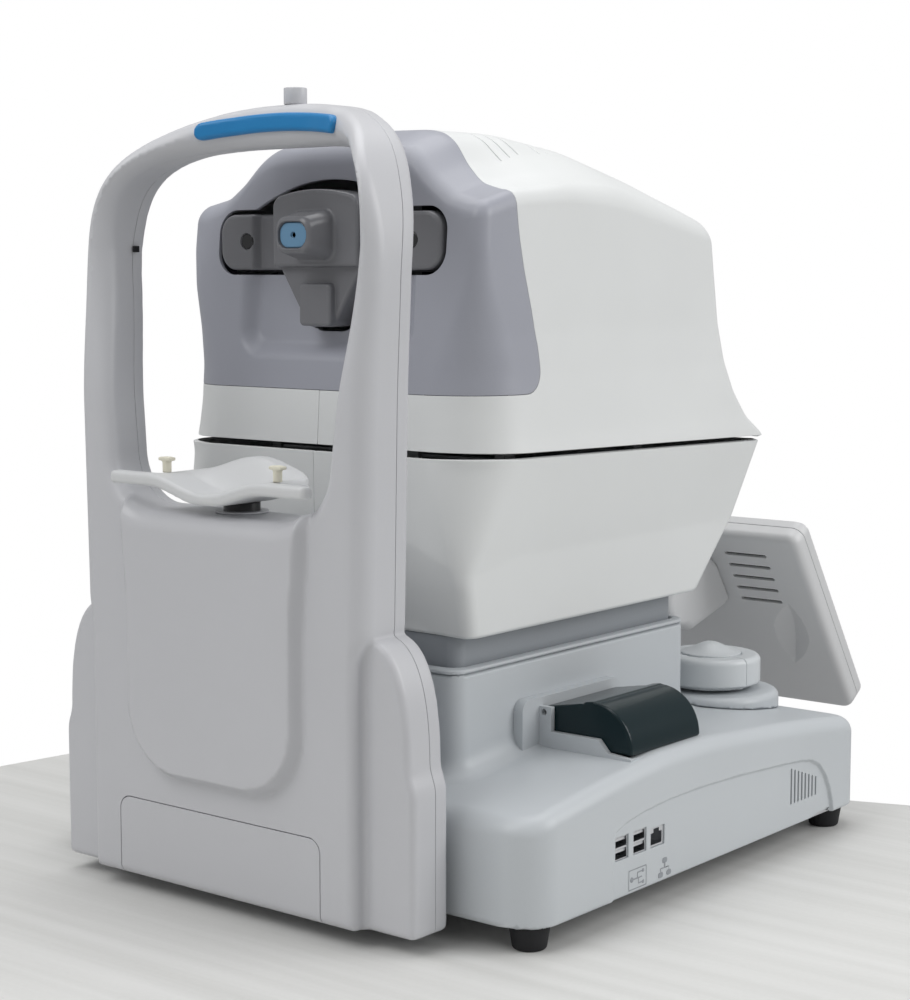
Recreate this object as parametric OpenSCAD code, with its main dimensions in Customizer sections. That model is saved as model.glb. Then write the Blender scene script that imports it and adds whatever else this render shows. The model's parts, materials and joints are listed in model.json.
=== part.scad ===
// Table-top autorefractor: base with printer and control knob, lifting and sliding
// measuring head, face frame with chin rest, and a tilting operator monitor.
// Frame: +Z up, patient side at -Y, operator side at +Y, origin under the middle.

/* [Base] */
// Half the width of the base
base_hw = 198; // [190:1:206]
// Height of the base cover's lower rim above the table
base_z0 = 15; // [14:1:18]
// Height of the base cover's top edge at its ends
base_edge = 78; // [74:1:82]
// Extra height of the arched crest along the side
base_crest = 14; // [8:1:18]
// Half the width of the neck moulded into the base cover
neck_hw = 112; // [110:1:114]
// Height of the neck's top ledge
neck_top = 147; // [142:1:150]

/* [Head] */
// Half the width of the head at its lower rim
head_hw = 132; // [128:1:136]
// Height of the gap between the lower and the upper casing at the front
gap_z = 272; // [268:1:276]
// How much lower that gap runs at the rear of the head
gap_drop = 7; // [0:0.5:10]
// Highest point of the head
head_top = 467; // [462:1:474]
// Wall thickness of the moulded casings
wall = 3; // [2.5:0.1:4]
// Height of the measuring axis
eye_z = 403; // [398:1:408]

/* [Face frame] */
// Half the width of the face frame's body
frame_hw = 114; // [110:1:118]
// Half the width across the side wings
wing_hw = 145; // [140:1:148]
// Top of the face frame's bar at the middle
frame_top = 480; // [476:1:482]
// Height of the sill below the chin rest
sill_z = 239.5; // [236:0.5:246]
// Radius of the accessory peg on the top bar
peg_r = 7; // [6:0.5:8]
// Height of the accessory peg above the bar
peg_h = 10; // [8:1:12]

/* [Monitor] */
// Lean of the monitor back from upright, in degrees
lean = 33.7; // [28:0.1:38]
// Half the width of the monitor
mon_hw = 131; // [120:1:136]
// Length of the monitor along its face
mon_len = 168; // [160:1:180]
// Thickness of the monitor at its edges
mon_t = 21; // [18:1:24]

/* [Controls] */
// Radius of the control knob
knob_r = 35; // [30:1:38]
// Width of the thermal paper
paper_w = 57; // [50:1:58]
// Radius of the paper roll
paper_r = 19; // [12:1:20]

/* [Hidden] */
$fn = 48;

base_y0 = -229;                 // front of the base
base_y1 = 155;                  // rear of the base
base_corner = 24;               // radius of the base's upright corners
plate_t = 3;                    // steel base plate
foot_x = 181;
foot_y = [-209, 131];
neck_y0 = -189;
neck_y1 = 62;
slide_gap = 1.5;                // room round the telescoping neck
sleeve_hw = neck_hw - 9;
sleeve_y0 = neck_y0 + 11;
sleeve_y1 = neck_y1 - 5;
lower_z0 = 165;                 // bottom of the lower casing
crease_z = 211;                 // bevel crease of the lower casing
gap = 3;                        // opening between the two casings
frame_y = -278;                 // front plane of the face frame's body
frame_back = -237;
pad_t = 7.7;                    // raised U-shaped field on the front of the frame
body_top = 285;                 // height up to which the frame keeps its flat front
peg_stem = 5.5;                 // radius of the part of the peg sunk in the bar
seam_y = -248;                  // parting line between the frame's two shells
bow = 50;                       // how far the top bar sits behind the posts
post_x = 100;                   // where the bow ends and the posts begin
bar_y = -222;                   // front of the top bar at the middle
bar_depth = 37;
bar_seam = 25;                  // front shell's share of that depth
column_y = -253;
lid_y0 = -113;                  // near and far ends of the printer's lid
lid_y1 = -37;
lid_x = 121;                    // lid's edge beside the neck
hinge_x = 122.5;                // printer cover's hinge
hinge_z = 112.5;
roll_x = 142;
roll_z = 77;
knob_x = 100;
knob_y = 111;
knob_z0 = 92;                   // underside of the knob
mon_y = 208.3;                  // point on the monitor's middle plane
mon_z = 154.6;
mon_mid = 10;                   // from that plane to the monitor's back plane
mon_above = 50;                 // monitor's reach above that point, along its face
tilt_y = 141;                   // monitor's tilt axis
tilt_z = 139;
arm_hw = 56;                    // half width of the monitor's bracket
tongue_hw = 28;                 // half width of the fixed tongue inside it
pin_r = 4;
running = 0.05;                 // radial clearance of a running fit
m5_r = 2.5;

// ---- shared shapes ----
module rrect(x0, x1, y0, y1, r) {
  translate([x0 + r, y0]) square([x1 - x0 - 2 * r, y1 - y0]);
  translate([x0, y0 + r]) square([x1 - x0, y1 - y0 - 2 * r]);
  for (x = [x0 + r, x1 - r], y = [y0 + r, y1 - r]) translate([x, y]) circle(r);
}
module slab(x0, x1, y0, y1, z0, z1, r = 2) {
  translate([0, 0, z0]) linear_extrude(z1 - z0) rrect(x0, x1, y0, y1, r);
}
// Box between two corners
module box(a, b) { translate(a) cube(b - a); }
// Straight loft between two rounded sections [z, half width, y0, y1, radius]
module loft(a, b, inset = 0) {
  hull() for (s = [a, b])
    translate([0, 0, s[0]]) linear_extrude(0.02, center = true)
      rrect(-s[1] + inset, s[1] - inset, s[2] + inset, s[3] - inset, s[4], $fn = 32);
}
// Side view outline (y, z) extruded across the width
module across(x0, x1) {
  translate([x0, 0, 0]) rotate([90, 0, 90]) linear_extrude(x1 - x0) children();
}
// Front view outline (x, z) extruded from y0 back to y1
module depth(y0, y1) {
  translate([0, y1, 0]) rotate([90, 0, 0]) linear_extrude(y1 - y0) children();
}
module rod(p, r, h) { translate(p) cylinder(r = r, h = h); }
module rod_x(p, r, h) { translate(p) rotate([0, 90, 0]) cylinder(r = r, h = h); }
module rod_y(p, r, h) { translate(p) rotate([-90, 0, 0]) cylinder(r = r, h = h); }
function smooth_power(t, n) = pow(abs(t), n);

// ---- base ----
function base_top(t) = base_edge + base_crest * sin(180 * t) + 2 - 5 * t;
module base_profile(drop) {
  polygon(concat([[base_y0 - 5, 0]],
    [for (i = [0:12]) let (t = i / 12) [base_y0 + t * (base_y1 - base_y0), base_top(t) - drop]],
    [[base_y1 + 5, 0]]));
}
module base_solid(inset, z0) {
  intersection() {
    slab(-base_hw + inset, base_hw - inset, base_y0 + inset, base_y1 - inset,
      z0, 120, base_corner - inset);
    across(-base_hw, base_hw) base_profile(inset);
  }
}
port_z = 38;
usb_h = 14.4;
usb_y = [-139.5, -120.5];
lan_y = -101.5;
module usb_window(y) {
  box([base_hw - 8, y - 7.2, port_z - 0.4], [base_hw + 1, y + 7.2, port_z + usb_h + 0.4]);
}
module base_cover() color([0.71, 0.73, 0.75]) {
  difference() {
    union() {
      base_solid(0, base_z0);
      slab(-neck_hw, neck_hw, neck_y0, neck_y1, 70, neck_top - 3, 10);
    }
    base_solid(wall, base_z0 - 1);
    slab(-neck_hw + wall, neck_hw - wall, neck_y0 + wall, neck_y1 - wall, 60, neck_top, 7);
    box([119, lid_y0 + 1, 60], [181, lid_y1 - 1, 110]);
    for (y = usb_y) usb_window(y);
    box([base_hw - 8, lan_y - 8, port_z - 0.4], [base_hw + 1, lan_y + 8, port_z + 12.4]);
    for (i = [0:7]) let (y = 60 + i * 5, h = 26 - 1.5 * i)
      box([base_hw - 8, y, 30], [base_hw + 1, y + 2.2, 30 + h]);
    rod([knob_x, knob_y, 60], 6, 40);
    box([-base_hw - 1, 40, 32], [-base_hw + 8, 68, 56]);
    box([-base_hw - 1, 80, 34], [-base_hw + 8, 92.4, 54]);
    for (x = [-60, 60]) box([x - 15.5, base_y0 - 1, 29.5], [x + 15.5, base_y0 + 8, 60.5]);
  }
}
module base_plate() color([0.55, 0.56, 0.58]) difference() {
  union() {
    slab(-base_hw + 4, base_hw - 4, base_y0 + 4, base_y1 - 4, base_z0, base_z0 + plate_t,
      base_corner - 4);
    for (x = [-1, 1]) rod([x * 120, -40, base_z0], 8, 12);
  }
  for (x = [-foot_x, foot_x], y = foot_y) rod([x, y, 10], m5_r + 0.1, 20);
  for (x = [-1, 1]) rod([x * 120, -40, 10], 3.3, 20);
}
module rubber_feet() color([0.06, 0.06, 0.07])
  for (x = [-foot_x, foot_x], y = foot_y) translate([x, y, 0]) difference() {
    rotate_extrude() polygon([[0, 0], [9, 0], [10, 1], [12, 13], [12, base_z0], [0, base_z0]]);
    rod([0, 0, -1], m5_r + 0.1, 20);
    rod([0, 0, -1], 5.2, 5);
  }
module foot_screws() color([0.75, 0.75, 0.77])
  for (x = [-foot_x, foot_x], y = foot_y) translate([x, y, 0]) difference() {
    union() { rod([0, 0, 4], m5_r, 17); rod([0, 0, 1], 4.5, 3); }
    rod([0, 0, 0.5], 1.5, 2, $fn = 6);
  }
module neck_collar() color([0.62, 0.64, 0.66]) difference() {
  slab(-neck_hw, neck_hw, neck_y0, neck_y1, neck_top - 3, neck_top, 10);
  slab(-sleeve_hw - slide_gap, sleeve_hw + slide_gap, sleeve_y0 - slide_gap,
    sleeve_y1 + slide_gap, neck_top - 4, neck_top + 1, 8);
}
module knob_platform() color([0.7, 0.72, 0.74]) difference() {
  slab(knob_x - 46, knob_x + 48, knob_y - 46, knob_y + 42, 70, 90.4, 40);
  base_solid(-0.1, 0);
  rod([knob_x, knob_y, 60], 6, 40);
}
module usb_ports() color([0.72, 0.73, 0.75])
  for (y = usb_y) translate([base_hw - 21, y, port_z]) difference() {
    box([0, -6.8, 0], [18.5, 6.8, usb_h]);
    for (z = [0.8, 7.8]) difference() {
      box([4, -6.2, z], [19, 6.2, z + 5.6]);
      box([3, -5.6, z + 3.4], [17.6, 5.6, z + 5.2]);
    }
  }
module lan_port() color([0.7, 0.71, 0.73]) translate([base_hw - 21, lan_y, port_z]) difference() {
  box([0, -7.6, 0], [18.5, 7.6, 12]);
  box([5, -5.9, 1.4], [19, 5.9, 8.4]);
  box([5, -3, 8.3], [19, 3, 10.8]);
}
module io_board() color([0.1, 0.35, 0.22])
  box([base_hw - 60, usb_y[0] - 14, port_z - 2], [base_hw - 6, lan_y + 14, port_z - 0.2]);
module main_board() color([0.1, 0.32, 0.2]) {
  box([-170, -150, 28], [-60, 20, 29.6]);
  for (x = [-165, -65], y = [-145, 15]) rod([x, y, base_z0 + plate_t], 4, 28 - base_z0 - plate_t);
  box([-130, -90, 29.6], [-95, -55, 40]);
}
module power_supply() color([0.66, 0.67, 0.69])
  box([-150, 40, base_z0 + plate_t], [-60, 130, 58]);
module power_inlet() color([0.08, 0.08, 0.09]) difference() {
  union() {
    box([-base_hw, 40.3, 32.3], [-base_hw + 26, 67.7, 55.7]);
    difference() {
      box([-base_hw + wall + 0.2, 78, 32], [-base_hw + 20, 94.4, 56]);
      rod_y([-base_hw + 7, 80, 44], 9.4, 12.4);
      box([-base_hw, 80, 34.6], [-base_hw + 7, 92.4, 53.4]);
    }
  }
  difference() {
    box([-base_hw - 1, 43, 35.5], [-base_hw + 20, 65, 52.5]);
    for (y = [48, 54, 60]) box([-base_hw + 4, y - 1, 41], [-base_hw + 21, y + 1, 46]);
  }
}
module power_switch() color([0.1, 0.1, 0.11]) {
  intersection() {
    rod_y([-base_hw + 7, 81, 44], 9, 10.4);
    box([-base_hw - 2, 80, 35], [-base_hw + 7, 93, 53]);
  }
}
module lift_column() color([0.6, 0.61, 0.63]) difference() {
  union() {
    box([-55, -115, base_z0 + plate_t], [55, -35, base_z0 + plate_t + 4]);
    for (x = [-40, 40]) rod([x, -75, base_z0 + plate_t + 4], 8, 90);
  }
  for (x = [-40, 40]) rod([x, -75, 30], 5 + running, 100);
}
module lift_motor() color([0.25, 0.26, 0.28]) difference() {
  union() { slab(-21, 21, -96, -54, 22.5, 64, 4); rod([0, -75, 64], 14, 48); }
  rod([0, -75, 50], 6 + running, 80);
}

// ---- printer on the right-hand shelf ----
module printer_tray() color([0.25, 0.26, 0.28]) {
  difference() {
    box([120, lid_y0 + 2, 54], [180, lid_y1 - 2, 92]);
    box([122, lid_y0 + 4, 56], [178, lid_y1 - 4, 93]);
  }
  for (x = [130, 165]) box([x, -62, base_z0 + plate_t], [x + 6, -56, 54]);
}
module printer_bezel() color([0.78, 0.8, 0.82]) difference() {
  union() {
    depth(lid_y0 - 4, lid_y0 - 0.4) polygon([[119, 80], [187, 80], [187, 92], [170, 93.5],
      [163, 101], [128, 101], [128, 116], [119, 116]]);
    depth(lid_y1 + 0.4, lid_y1 + 4) polygon([[119, 80], [187, 80], [187, 92], [119, 97]]);
    box([185.2, lid_y0 - 0.4, 80], [187, lid_y1 + 0.4, 92]);
    translate([neck_hw + 0.1, 0, 0]) across(0, 119 - neck_hw - 0.1)
      rrect(-134, lid_y1 + 8, 84, 121, 7);
  }
  base_solid(-0.1, 0);
  rod_y([hinge_x, lid_y0 - 5, hinge_z], 2 + running, 10);
}
module print_head() color([0.5, 0.51, 0.53]) {
  box([172.4, lid_y0 + 6, 78], [175, lid_y1 - 6, 91.6]);
}
module feed_roller() color([0.12, 0.12, 0.13])
  rod_y([167, lid_y0 + 6, 86], 5, lid_y1 - lid_y0 - 12);
module paper_roll() color([0.95, 0.95, 0.93]) difference() {
  rod_y([roll_x, -75 - paper_w / 2, roll_z], paper_r, paper_w);
  rod_y([roll_x, -75 - paper_w / 2 - 1, roll_z], 6, paper_w + 2);
}
// Side view of the lid: a flat part beside the neck, then a hump falling to the outer lip
module lid_outline(t) {
  intersection() {
    union() {
      polygon([[lid_x, 90], [lid_x, 115.5 - t], [157, 122 - t], [164, 118 - t], [164, 90]]);
      intersection() {
        translate([157, 94]) circle(28 - t, $fn = 96);
        translate([157, 90]) square([40, 60]);
      }
    }
    translate([lid_x, 93]) square([80, 60]);
  }
}
module printer_cover() color([0.08, 0.16, 0.18]) {
  difference() {
    depth(lid_y0, lid_y1) lid_outline(0);
    depth(lid_y0 + 2, lid_y1 - 2) difference() {
      lid_outline(2.2);
      square([lid_x + 2, 200]);
    }
    box([lid_x + 2, lid_y0 + 2, 92], [182.5, lid_y1 - 2, 95]);
  }
  rod_y([hinge_x, lid_y0 - 3.6, hinge_z], 2, 4);
}

// ---- face frame ----
module arch(a, zc, b, n, z0) {
  polygon(concat([[a - 3, z0]],
    [for (i = [0:24]) let (x = a * cos(180 * i / 24))
      [x, zc + b * pow(max(0, 1 - smooth_power(x / a, n)), 1 / n)]],
    [[-a + 3, z0]]));
}
module frame_outline() {
  arch(119, 375, frame_top - 375, 2.6, 160);
  polygon([[-frame_hw + 3, 10], [frame_hw - 3, 10], [frame_hw, 250], [-frame_hw, 250]]);
}
module window_outline() {
  arch(103, 395, 60, 3.7, 394);
  polygon([[-103, 395.5], [103, 395.5], [91.3, sill_z + 30], [-91.3, sill_z + 30]]);
  rrect(-91.3, 91.3, sill_z, sill_z + 62, 30);
}
module wing_outline() {
  for (s = [-1, 1]) scale([s, 1])
    polygon(concat([[105, 10], [wing_hw, 10], [wing_hw, 95]], [for (i = [0:16]) let (a = 90 * i / 16)
      [105 + (wing_hw - 109) * pow(cos(a), 0.77), 100 + 78 * pow(sin(a), 0.77)]]));
}
// Plan strip of the posts and the bar, which bows back towards the head at the middle
function bow_y(x) = bar_y - bow * min(1, smooth_power(x / post_x, 3));
module bow_strip(d0, d1) {
  xs = [for (i = [-24:24]) i * 5];
  polygon(concat([for (x = xs) [x, bow_y(x) + d0]],
    [for (i = [len(xs) - 1:-1:0]) [xs[i], bow_y(xs[i]) + d1]]));
}
module bowed(d0, d1) {
  intersection() {
    depth(-300, -150) difference() { frame_outline(); window_outline(); }
    translate([0, 0, body_top]) linear_extrude(240) bow_strip(d0, d1);
  }
}
module body_block(y0, y1) {
  depth(y0, y1) intersection() {
    difference() {
      union() { frame_outline(); wing_outline(); }
      window_outline();
    }
    translate([-200, 10]) square([400, body_top - 10]);
  }
}
module frame_front_shell() color([0.76, 0.76, 0.77]) difference() {
  union() {
    bowed(0, bar_seam - 0.1);
    body_block(frame_y, seam_y);
    depth(frame_y - pad_t, seam_y) intersection() {
      rrect(-69, 69, 80, sill_z + 50, 42);
      translate([-100, 0]) square([200, sill_z]);
    }
  }
  depth(frame_y + wall, seam_y + 1) polygon([[-108, 13], [108, 13], [108, sill_z - 4], [-108, sill_z - 4]]);
  for (s = [-1, 1]) box([s * 124 - 13, frame_y + 10 + wall, 13], [s * 124 + 13, seam_y + 1, 130]);
  for (s = [-1, 1]) box([s * 133 - 25, frame_y - 1, 0], [s * 133 + 25, frame_y + 10, 182]);
  depth(frame_y - 1, frame_y + 2) rrect(-84.3, 84.3, 13, 60.3, 8);
  forehead_solid(0.15);
  rod([0, column_y, 200], 14.1, 60);
  rod([0, bar_y + 18, 455.9], peg_stem, 60);
}
module frame_rear_shell() color([0.74, 0.74, 0.75]) difference() {
  union() {
    bowed(bar_seam + 0.1, bar_depth);
    body_block(seam_y + 0.2, frame_back);
  }
  depth(seam_y, frame_back - wall) polygon([[-108, 13], [108, 13], [108, sill_z - 4], [-108, sill_z - 4]]);
  for (s = [-1, 1]) box([s * 124 - 13, seam_y, 13], [s * 124 + 13, frame_back - wall, 130]);
  for (x = [-60, 60]) box([x - 15.5, frame_back - 8, 29.5], [x + 15.5, frame_back + 1, 60.5]);
  rod([0, column_y, 200], 14.1, 60);
}
module forehead_solid(extra) {
  xs = [for (i = [-8:8]) i * (56 + extra) / 8];
  intersection() {
    depth(-240, -190) polygon(concat([for (x = xs) [x, 474 + extra - 4.5 * pow(x / 56, 2)]],
      [for (i = [16:-1:0]) [xs[i], 463.8 - extra - 4 * pow(xs[i] / 56, 2)]]));
    translate([0, 0, 440]) linear_extrude(60) bow_strip(-5, 4 + extra);
  }
}
module forehead_rest() color([0.13, 0.5, 0.76]) forehead_solid(0);
module access_panel() color([0.76, 0.76, 0.77]) depth(frame_y, frame_y + 1.9)
  rrect(-84, 84, 13.3, 60, 8);
module eye_marks() color([0.05, 0.05, 0.06])
  for (s = [-1, 1]) box([s * 102 - 0.6, -243, 393], [s * 102 + 0.6, -238, 397]);
module top_peg() color([0.75, 0.75, 0.75]) translate([0, bar_y + 18, 0])
  difference() {
    union() {
      rod([0, 0, 457], peg_stem - running, frame_top + 1 - 457);
      rod([0, 0, frame_top + 0.3], peg_r, peg_h);
    }
    rod([0, 0, frame_top + peg_h - 8], 2.1, 10);
  }
module frame_bracket() color([0.6, 0.61, 0.63]) difference() {
  for (x = [-60, 60]) {
    box([x - 15, frame_back - wall - 4, 30], [x + 15, frame_back - wall - 0.1, 60]);
    box([x - 15, frame_back - wall - 0.1, 30], [x + 15, base_y0 + 30, 34]);
    box([x - 15, base_y0 + 26, base_z0 + plate_t], [x + 15, base_y0 + 30, 34]);
    box([x - 15, base_y0 + 30, base_z0 + plate_t], [x + 15, base_y0 + 60, base_z0 + plate_t + 4]);
  }
  for (x = [-60, 60]) rod([x, base_y0 + 45, 10], m5_r + 0.1, 20);
}
module bracket_screws() color([0.75, 0.75, 0.77])
  for (x = [-60, 60]) difference() {
    rod([x, base_y0 + 45, base_z0 + plate_t + 4], 4.5, 3.5);
    rod([x, base_y0 + 45, base_z0 + plate_t + 5.5], 1.5, 3, $fn = 6);
  }
module chin_motor() color([0.25, 0.26, 0.28]) difference() {
  union() {
    slab(-20, 20, column_y - 11.5, column_y + 8.5, 70, 130, 3);
    rod([0, column_y - 1, 130], 10.5, 60);
    box([-30, frame_y + wall + 0.2, 70], [30, column_y - 11.5, 76]);
  }
  rod([0, column_y - 1, 110], 8 + running, 100);
}
module chin_collar() color([0.72, 0.72, 0.73]) difference() {
  union() {
    rod([0, column_y, sill_z - 11.8], 14, 12.8);
    rod([0, column_y, sill_z + 0.1], 16, 1.2);
  }
  rod([0, column_y, 200], 11 + running, 60);
}
module chin_column() color([0.05, 0.05, 0.06]) {
  rod([0, column_y, 222], 11, 23.9);
  rod([0, column_y - 1, 120], 8, 102);
}
// Top of the chin plate across its width, dipping in the middle
function chin_dip(x) = 262 - (abs(x) < 48 ? 9.5 * pow(cos(90 * x / 48), 2) : 0);
module chin_plate() color([0.8, 0.8, 0.81]) {
  xs = [for (i = [-20:20]) i * 4];
  intersection() {
    depth(-287, -232) polygon(concat([for (x = xs) [x, chin_dip(x)]],
      [for (i = [len(xs) - 1:-1:0]) [xs[i], max(246, chin_dip(xs[i]) - 7.5)]]));
    linear_extrude(400) {
      rrect(-80, 80, -286, -278.8, 3.5);
      rrect(-46, 46, -286, -232.6, 18);
    }
  }
  rod([0, column_y, 246], 13, 5);
  depth(-242, -234.6) polygon([[-42, 259], [-15, 248], [15, 248], [42, 259], [42, 262], [23, 268.5],
    [0, 271.5], [-23, 268.5], [-42, 262]]);
}
module paper_pins() color([0.93, 0.92, 0.86])
  for (s = [-1, 1]) translate([s * 45.7, -270, 0]) {
    rod([0, 0, 262.1], 2.7, 8);
    slab(-5, 5, -2.7, 2.7, 268.6, 271, 1);
  }

// ---- lifting part of the head ----
low_a = [lower_z0, 115, -180, 73, 10];
low_b = [crease_z, 118, -190, 116, 10];
low_c = [gap_z + 2, head_hw - 1, -191, 134, 44];
// Height of the gap's lower lip along the head
function gap_at(y) = gap_z - gap_drop * (y + 190) / 323;
module gap_cut(z, g) across(-200, 200)
  polygon([[-300, z], [-300, gap_at(-300) + g], [200, gap_at(200) + g], [200, z]]);
module lower_shell(s) {
  difference() {
    union() { loft(low_a, low_b); loft(low_b, low_c); }
    loft([lower_z0 + wall, 115, -180, 73, 10], low_b, wall);
    loft(low_b, [gap_z + 2.5, head_hw - 1, -191, 134, 44], wall);
    gap_cut(320, 0);
    slab(-sleeve_hw + 0.2, sleeve_hw - 0.2, sleeve_y0 + 0.2, sleeve_y1 - 0.2, lower_z0 - 1,
      lower_z0 + 9, 6);
    translate([s > 0 ? -299.9 : -0.1, -300, 100]) cube([300, 600, 300]);
  }
}
module lower_casing_left() color([0.9, 0.9, 0.91]) lower_shell(-1);
module lower_casing_right() color([0.9, 0.9, 0.91]) lower_shell(1);
module upper_neck() color([0.56, 0.58, 0.61]) difference() {
  union() {
    slab(-sleeve_hw, sleeve_hw, sleeve_y0, sleeve_y1, 105, lower_z0 - 0.1, 8);
    slab(-sleeve_hw + 0.4, sleeve_hw - 0.4, sleeve_y0 + 0.4, sleeve_y1 - 0.4, lower_z0 - 0.1,
      lower_z0 + 8, 7);
  }
  slab(-sleeve_hw + 3, sleeve_hw - 3, sleeve_y0 + 3, sleeve_y1 - 3, 100, lower_z0 + 20, 5);
}
module lift_rod() color([0.75, 0.76, 0.78]) {
  rod([0, -75, 70], 6, 186);
  for (x = [-40, 40]) rod([x, -75, 50], 5, 206);
}
module lift_platform() color([0.62, 0.63, 0.65]) {
  box([-106, -160, 256], [106, 60, 259]);
  for (s = [-1, 1], y = [-150, 12])
    box([s * 103 - 1.8, y, lower_z0 + 8.1], [s * 103 + 1.8, y + 8, 256]);
}
module x_rails() color([0.75, 0.76, 0.78])
  for (y = [-120, 20]) {
    rod_x([-98, y, 266], 3, 196);
    for (x = [-98, 90]) difference() {
      box([x, y - 5, 259], [x + 8, y + 5, 272]);
      rod_x([x - 1, y, 266], 3, 10);
    }
  }

// ---- sideways and fore-and-aft slides ----
module x_carriage() color([0.66, 0.67, 0.69]) {
  difference() {
    for (x = [-30, 12], y = [-120, 20]) box([x, y - 6, 260], [x + 18, y + 6, 274]);
    for (y = [-120, 20]) rod_x([-99, y, 266], 3 + running, 198);
  }
  box([-50, -140, 274], [50, 40, 277]);
}
module y_rails() color([0.75, 0.76, 0.78])
  for (x = [-40, 40]) {
    rod_y([x, -138, 284], 3, 176);
    for (y = [-138, 30]) difference() {
      box([x - 5, y, 277], [x + 5, y + 8, 290]);
      rod_y([x, y - 1, 284], 3, 10);
    }
  }
module head_plate() color([0.66, 0.67, 0.69]) {
  difference() {
    for (x = [-40, 40], y = [-85, -30]) box([x - 6, y, 278], [x + 6, y + 18, 291]);
    for (x = [-40, 40]) rod_y([x, -139, 284], 3 + running, 178);
  }
  box([-124, -120, 291], [124, 60, 294]);
}

// ---- upper casing ----
up_a = [gap_z - 7, head_hw, -187, 135, 30];
up_b = [282, 130.5, -186.5, 116, 26];
up_c = [300, 128, -185, 103, 24];
up_d = [321, 125, -183.5, 95, 22];
up_e = [348, 122, -181, 90, 22];
up_f = [403, 119.5, -174.5, 83, 24];
// Side view of the roof at its outer ridges and along its middle
roof_side = [[-164, 404], [-160, 424], [-140, 429], [-33, 426], [62, 409], [74, 404]];
roof_mid = [[-172, 404], [-169, 424], [-131, head_top], [-81, head_top], [-23, head_top - 6],
  [28, head_top - 18], [76, head_top - 34], [82, 404]];
module head_solid(inset) {
  loft(up_a, up_b, inset);
  loft(up_b, up_c, inset);
  loft(up_c, up_d, inset);
  loft(up_d, up_e, inset);
  loft(up_e, up_f, inset);
  hull() {
    translate([0, 0, up_f[0]]) linear_extrude(0.02, center = true)
      rrect(-up_f[1] + inset, up_f[1] - inset, up_f[2] + inset, up_f[3] - inset, up_f[4], $fn = 32);
    across(-117 + inset, 117 - inset) offset(delta = -inset) polygon(roof_side);
    across(-60 + inset, 60 - inset) offset(delta = -inset) polygon(roof_mid);
  }
}
module casing_shell() difference() {
  head_solid(0);
  head_solid(wall);
  gap_cut(230, gap);
}
// Region of the grey front panel, seen from the side
module panel_zone(g) across(-200, 200) translate([-g, g])
  polygon([[-300, 308.8], [-146, 308.8], [-134, 315], [-128, 323], [-125.5, 337], [-130, 358],
    [-136, 382], [-139, 400], [-141, 420], [-142, 430], [-138, 437], [-130, 480], [-300, 480]]);
module casing_half(s) difference() {
  casing_shell();
  panel_zone(0);
  translate([s > 0 ? -299.9 : -0.1, -300, 200]) cube([300, 600, 300]);
  for (k = [0:6]) let (x = s * (52 + (k > 2 ? 14 : 0)), y = -96 + k * 11 + (k > 2 ? 18 : 0))
    box([x - 11, y, 440], [x + 11, y + 3, 480]);
}
module upper_casing_left() color([0.9, 0.9, 0.91]) casing_half(-1);
module upper_casing_right() color([0.9, 0.9, 0.91]) casing_half(1);
module nose_hole() {
  depth(-220, -150) {
    rrect(-96, 96, 374, 424, 24);
    rrect(-44, 44, 340, 440, 20);
  }
}
module front_panel() color([0.62, 0.62, 0.68]) difference() {
  intersection() { casing_shell(); panel_zone(0.2); }
  nose_hole();
}
module nose_cover() color([0.42, 0.42, 0.44]) difference() {
  union() {
    depth(-176, -163) rrect(-90, 90, 379, 419, 18);
    depth(-190, -176) rrect(-88, 88, 381, 417, 16);
    depth(-190, -163) polygon([[-36, 379], [-34, 424], [-26, 430], [26, 430], [34, 424], [36, 379],
      [14, 348], [-14, 348]]);
    rod_y([0, -209, eye_z], 18, 20);
  }
  depth(-173, -160) rrect(-86, 86, 382, 416, 15);
  depth(-187, -160) polygon([[-33, 382], [-31, 422], [-25, 427], [25, 427], [31, 422], [33, 382],
    [12, 351], [-12, 351]]);
  rod_y([0, -211, eye_z], 12, 30);
  for (s = [-1, 1]) rod_y([s * 64, -192, 400], 6, 30);
}
module lens_window() color([0.45, 0.62, 0.75]) difference() {
  rod_y([0, -206.5, eye_z], 12 - running, 5);
  rod_y([0, -208, eye_z], 2.5, 10);
}
module side_windows() color([0.06, 0.06, 0.07])
  for (s = [-1, 1]) rod_y([s * 64, -188.5, 400], 6 - running, 5);
module optics_tube() color([0.2, 0.2, 0.22]) {
  difference() {
    union() {
      rod_y([0, -160, eye_z], 20, 170);
      depth(-162.9, -160) rrect(-88, 88, 381, 417, 15);
    }
    rod_y([0, -165, eye_z], 16, 150);
  }
  box([-20, -60, 294], [20, -20, 384]);
  box([-60, -158, 375], [-30, -100, 425]);
  box([30, -158, 375], [60, -100, 425]);
  box([-60, -100, 380], [60, -96, 384]);
}

// ---- monitor on its tilting bracket ----
// Fixed tongue from the rear of the neck to the tilt axis
module monitor_arm() color([0.71, 0.73, 0.75]) difference() {
  union() {
    across(-tongue_hw, tongue_hw)
      polygon([[neck_y1 + 0.1, 98], [tilt_y, tilt_z - 14], [tilt_y, tilt_z + 14],
        [120, tilt_z + 12], [neck_y1 + 0.1, 136]]);
    rod_x([-tongue_hw, tilt_y, tilt_z], 14, 2 * tongue_hw);
    box([-44, neck_y1 + 0.1, 96], [44, neck_y1 + 4, 138]);
  }
  rod_x([-60, tilt_y, tilt_z], pin_r, 120);
}
module monitor_hinge() color([0.7, 0.71, 0.73])
  rod_x([-arm_hw + 3, tilt_y, tilt_z], pin_r, 2 * arm_hw - 6);
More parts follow.
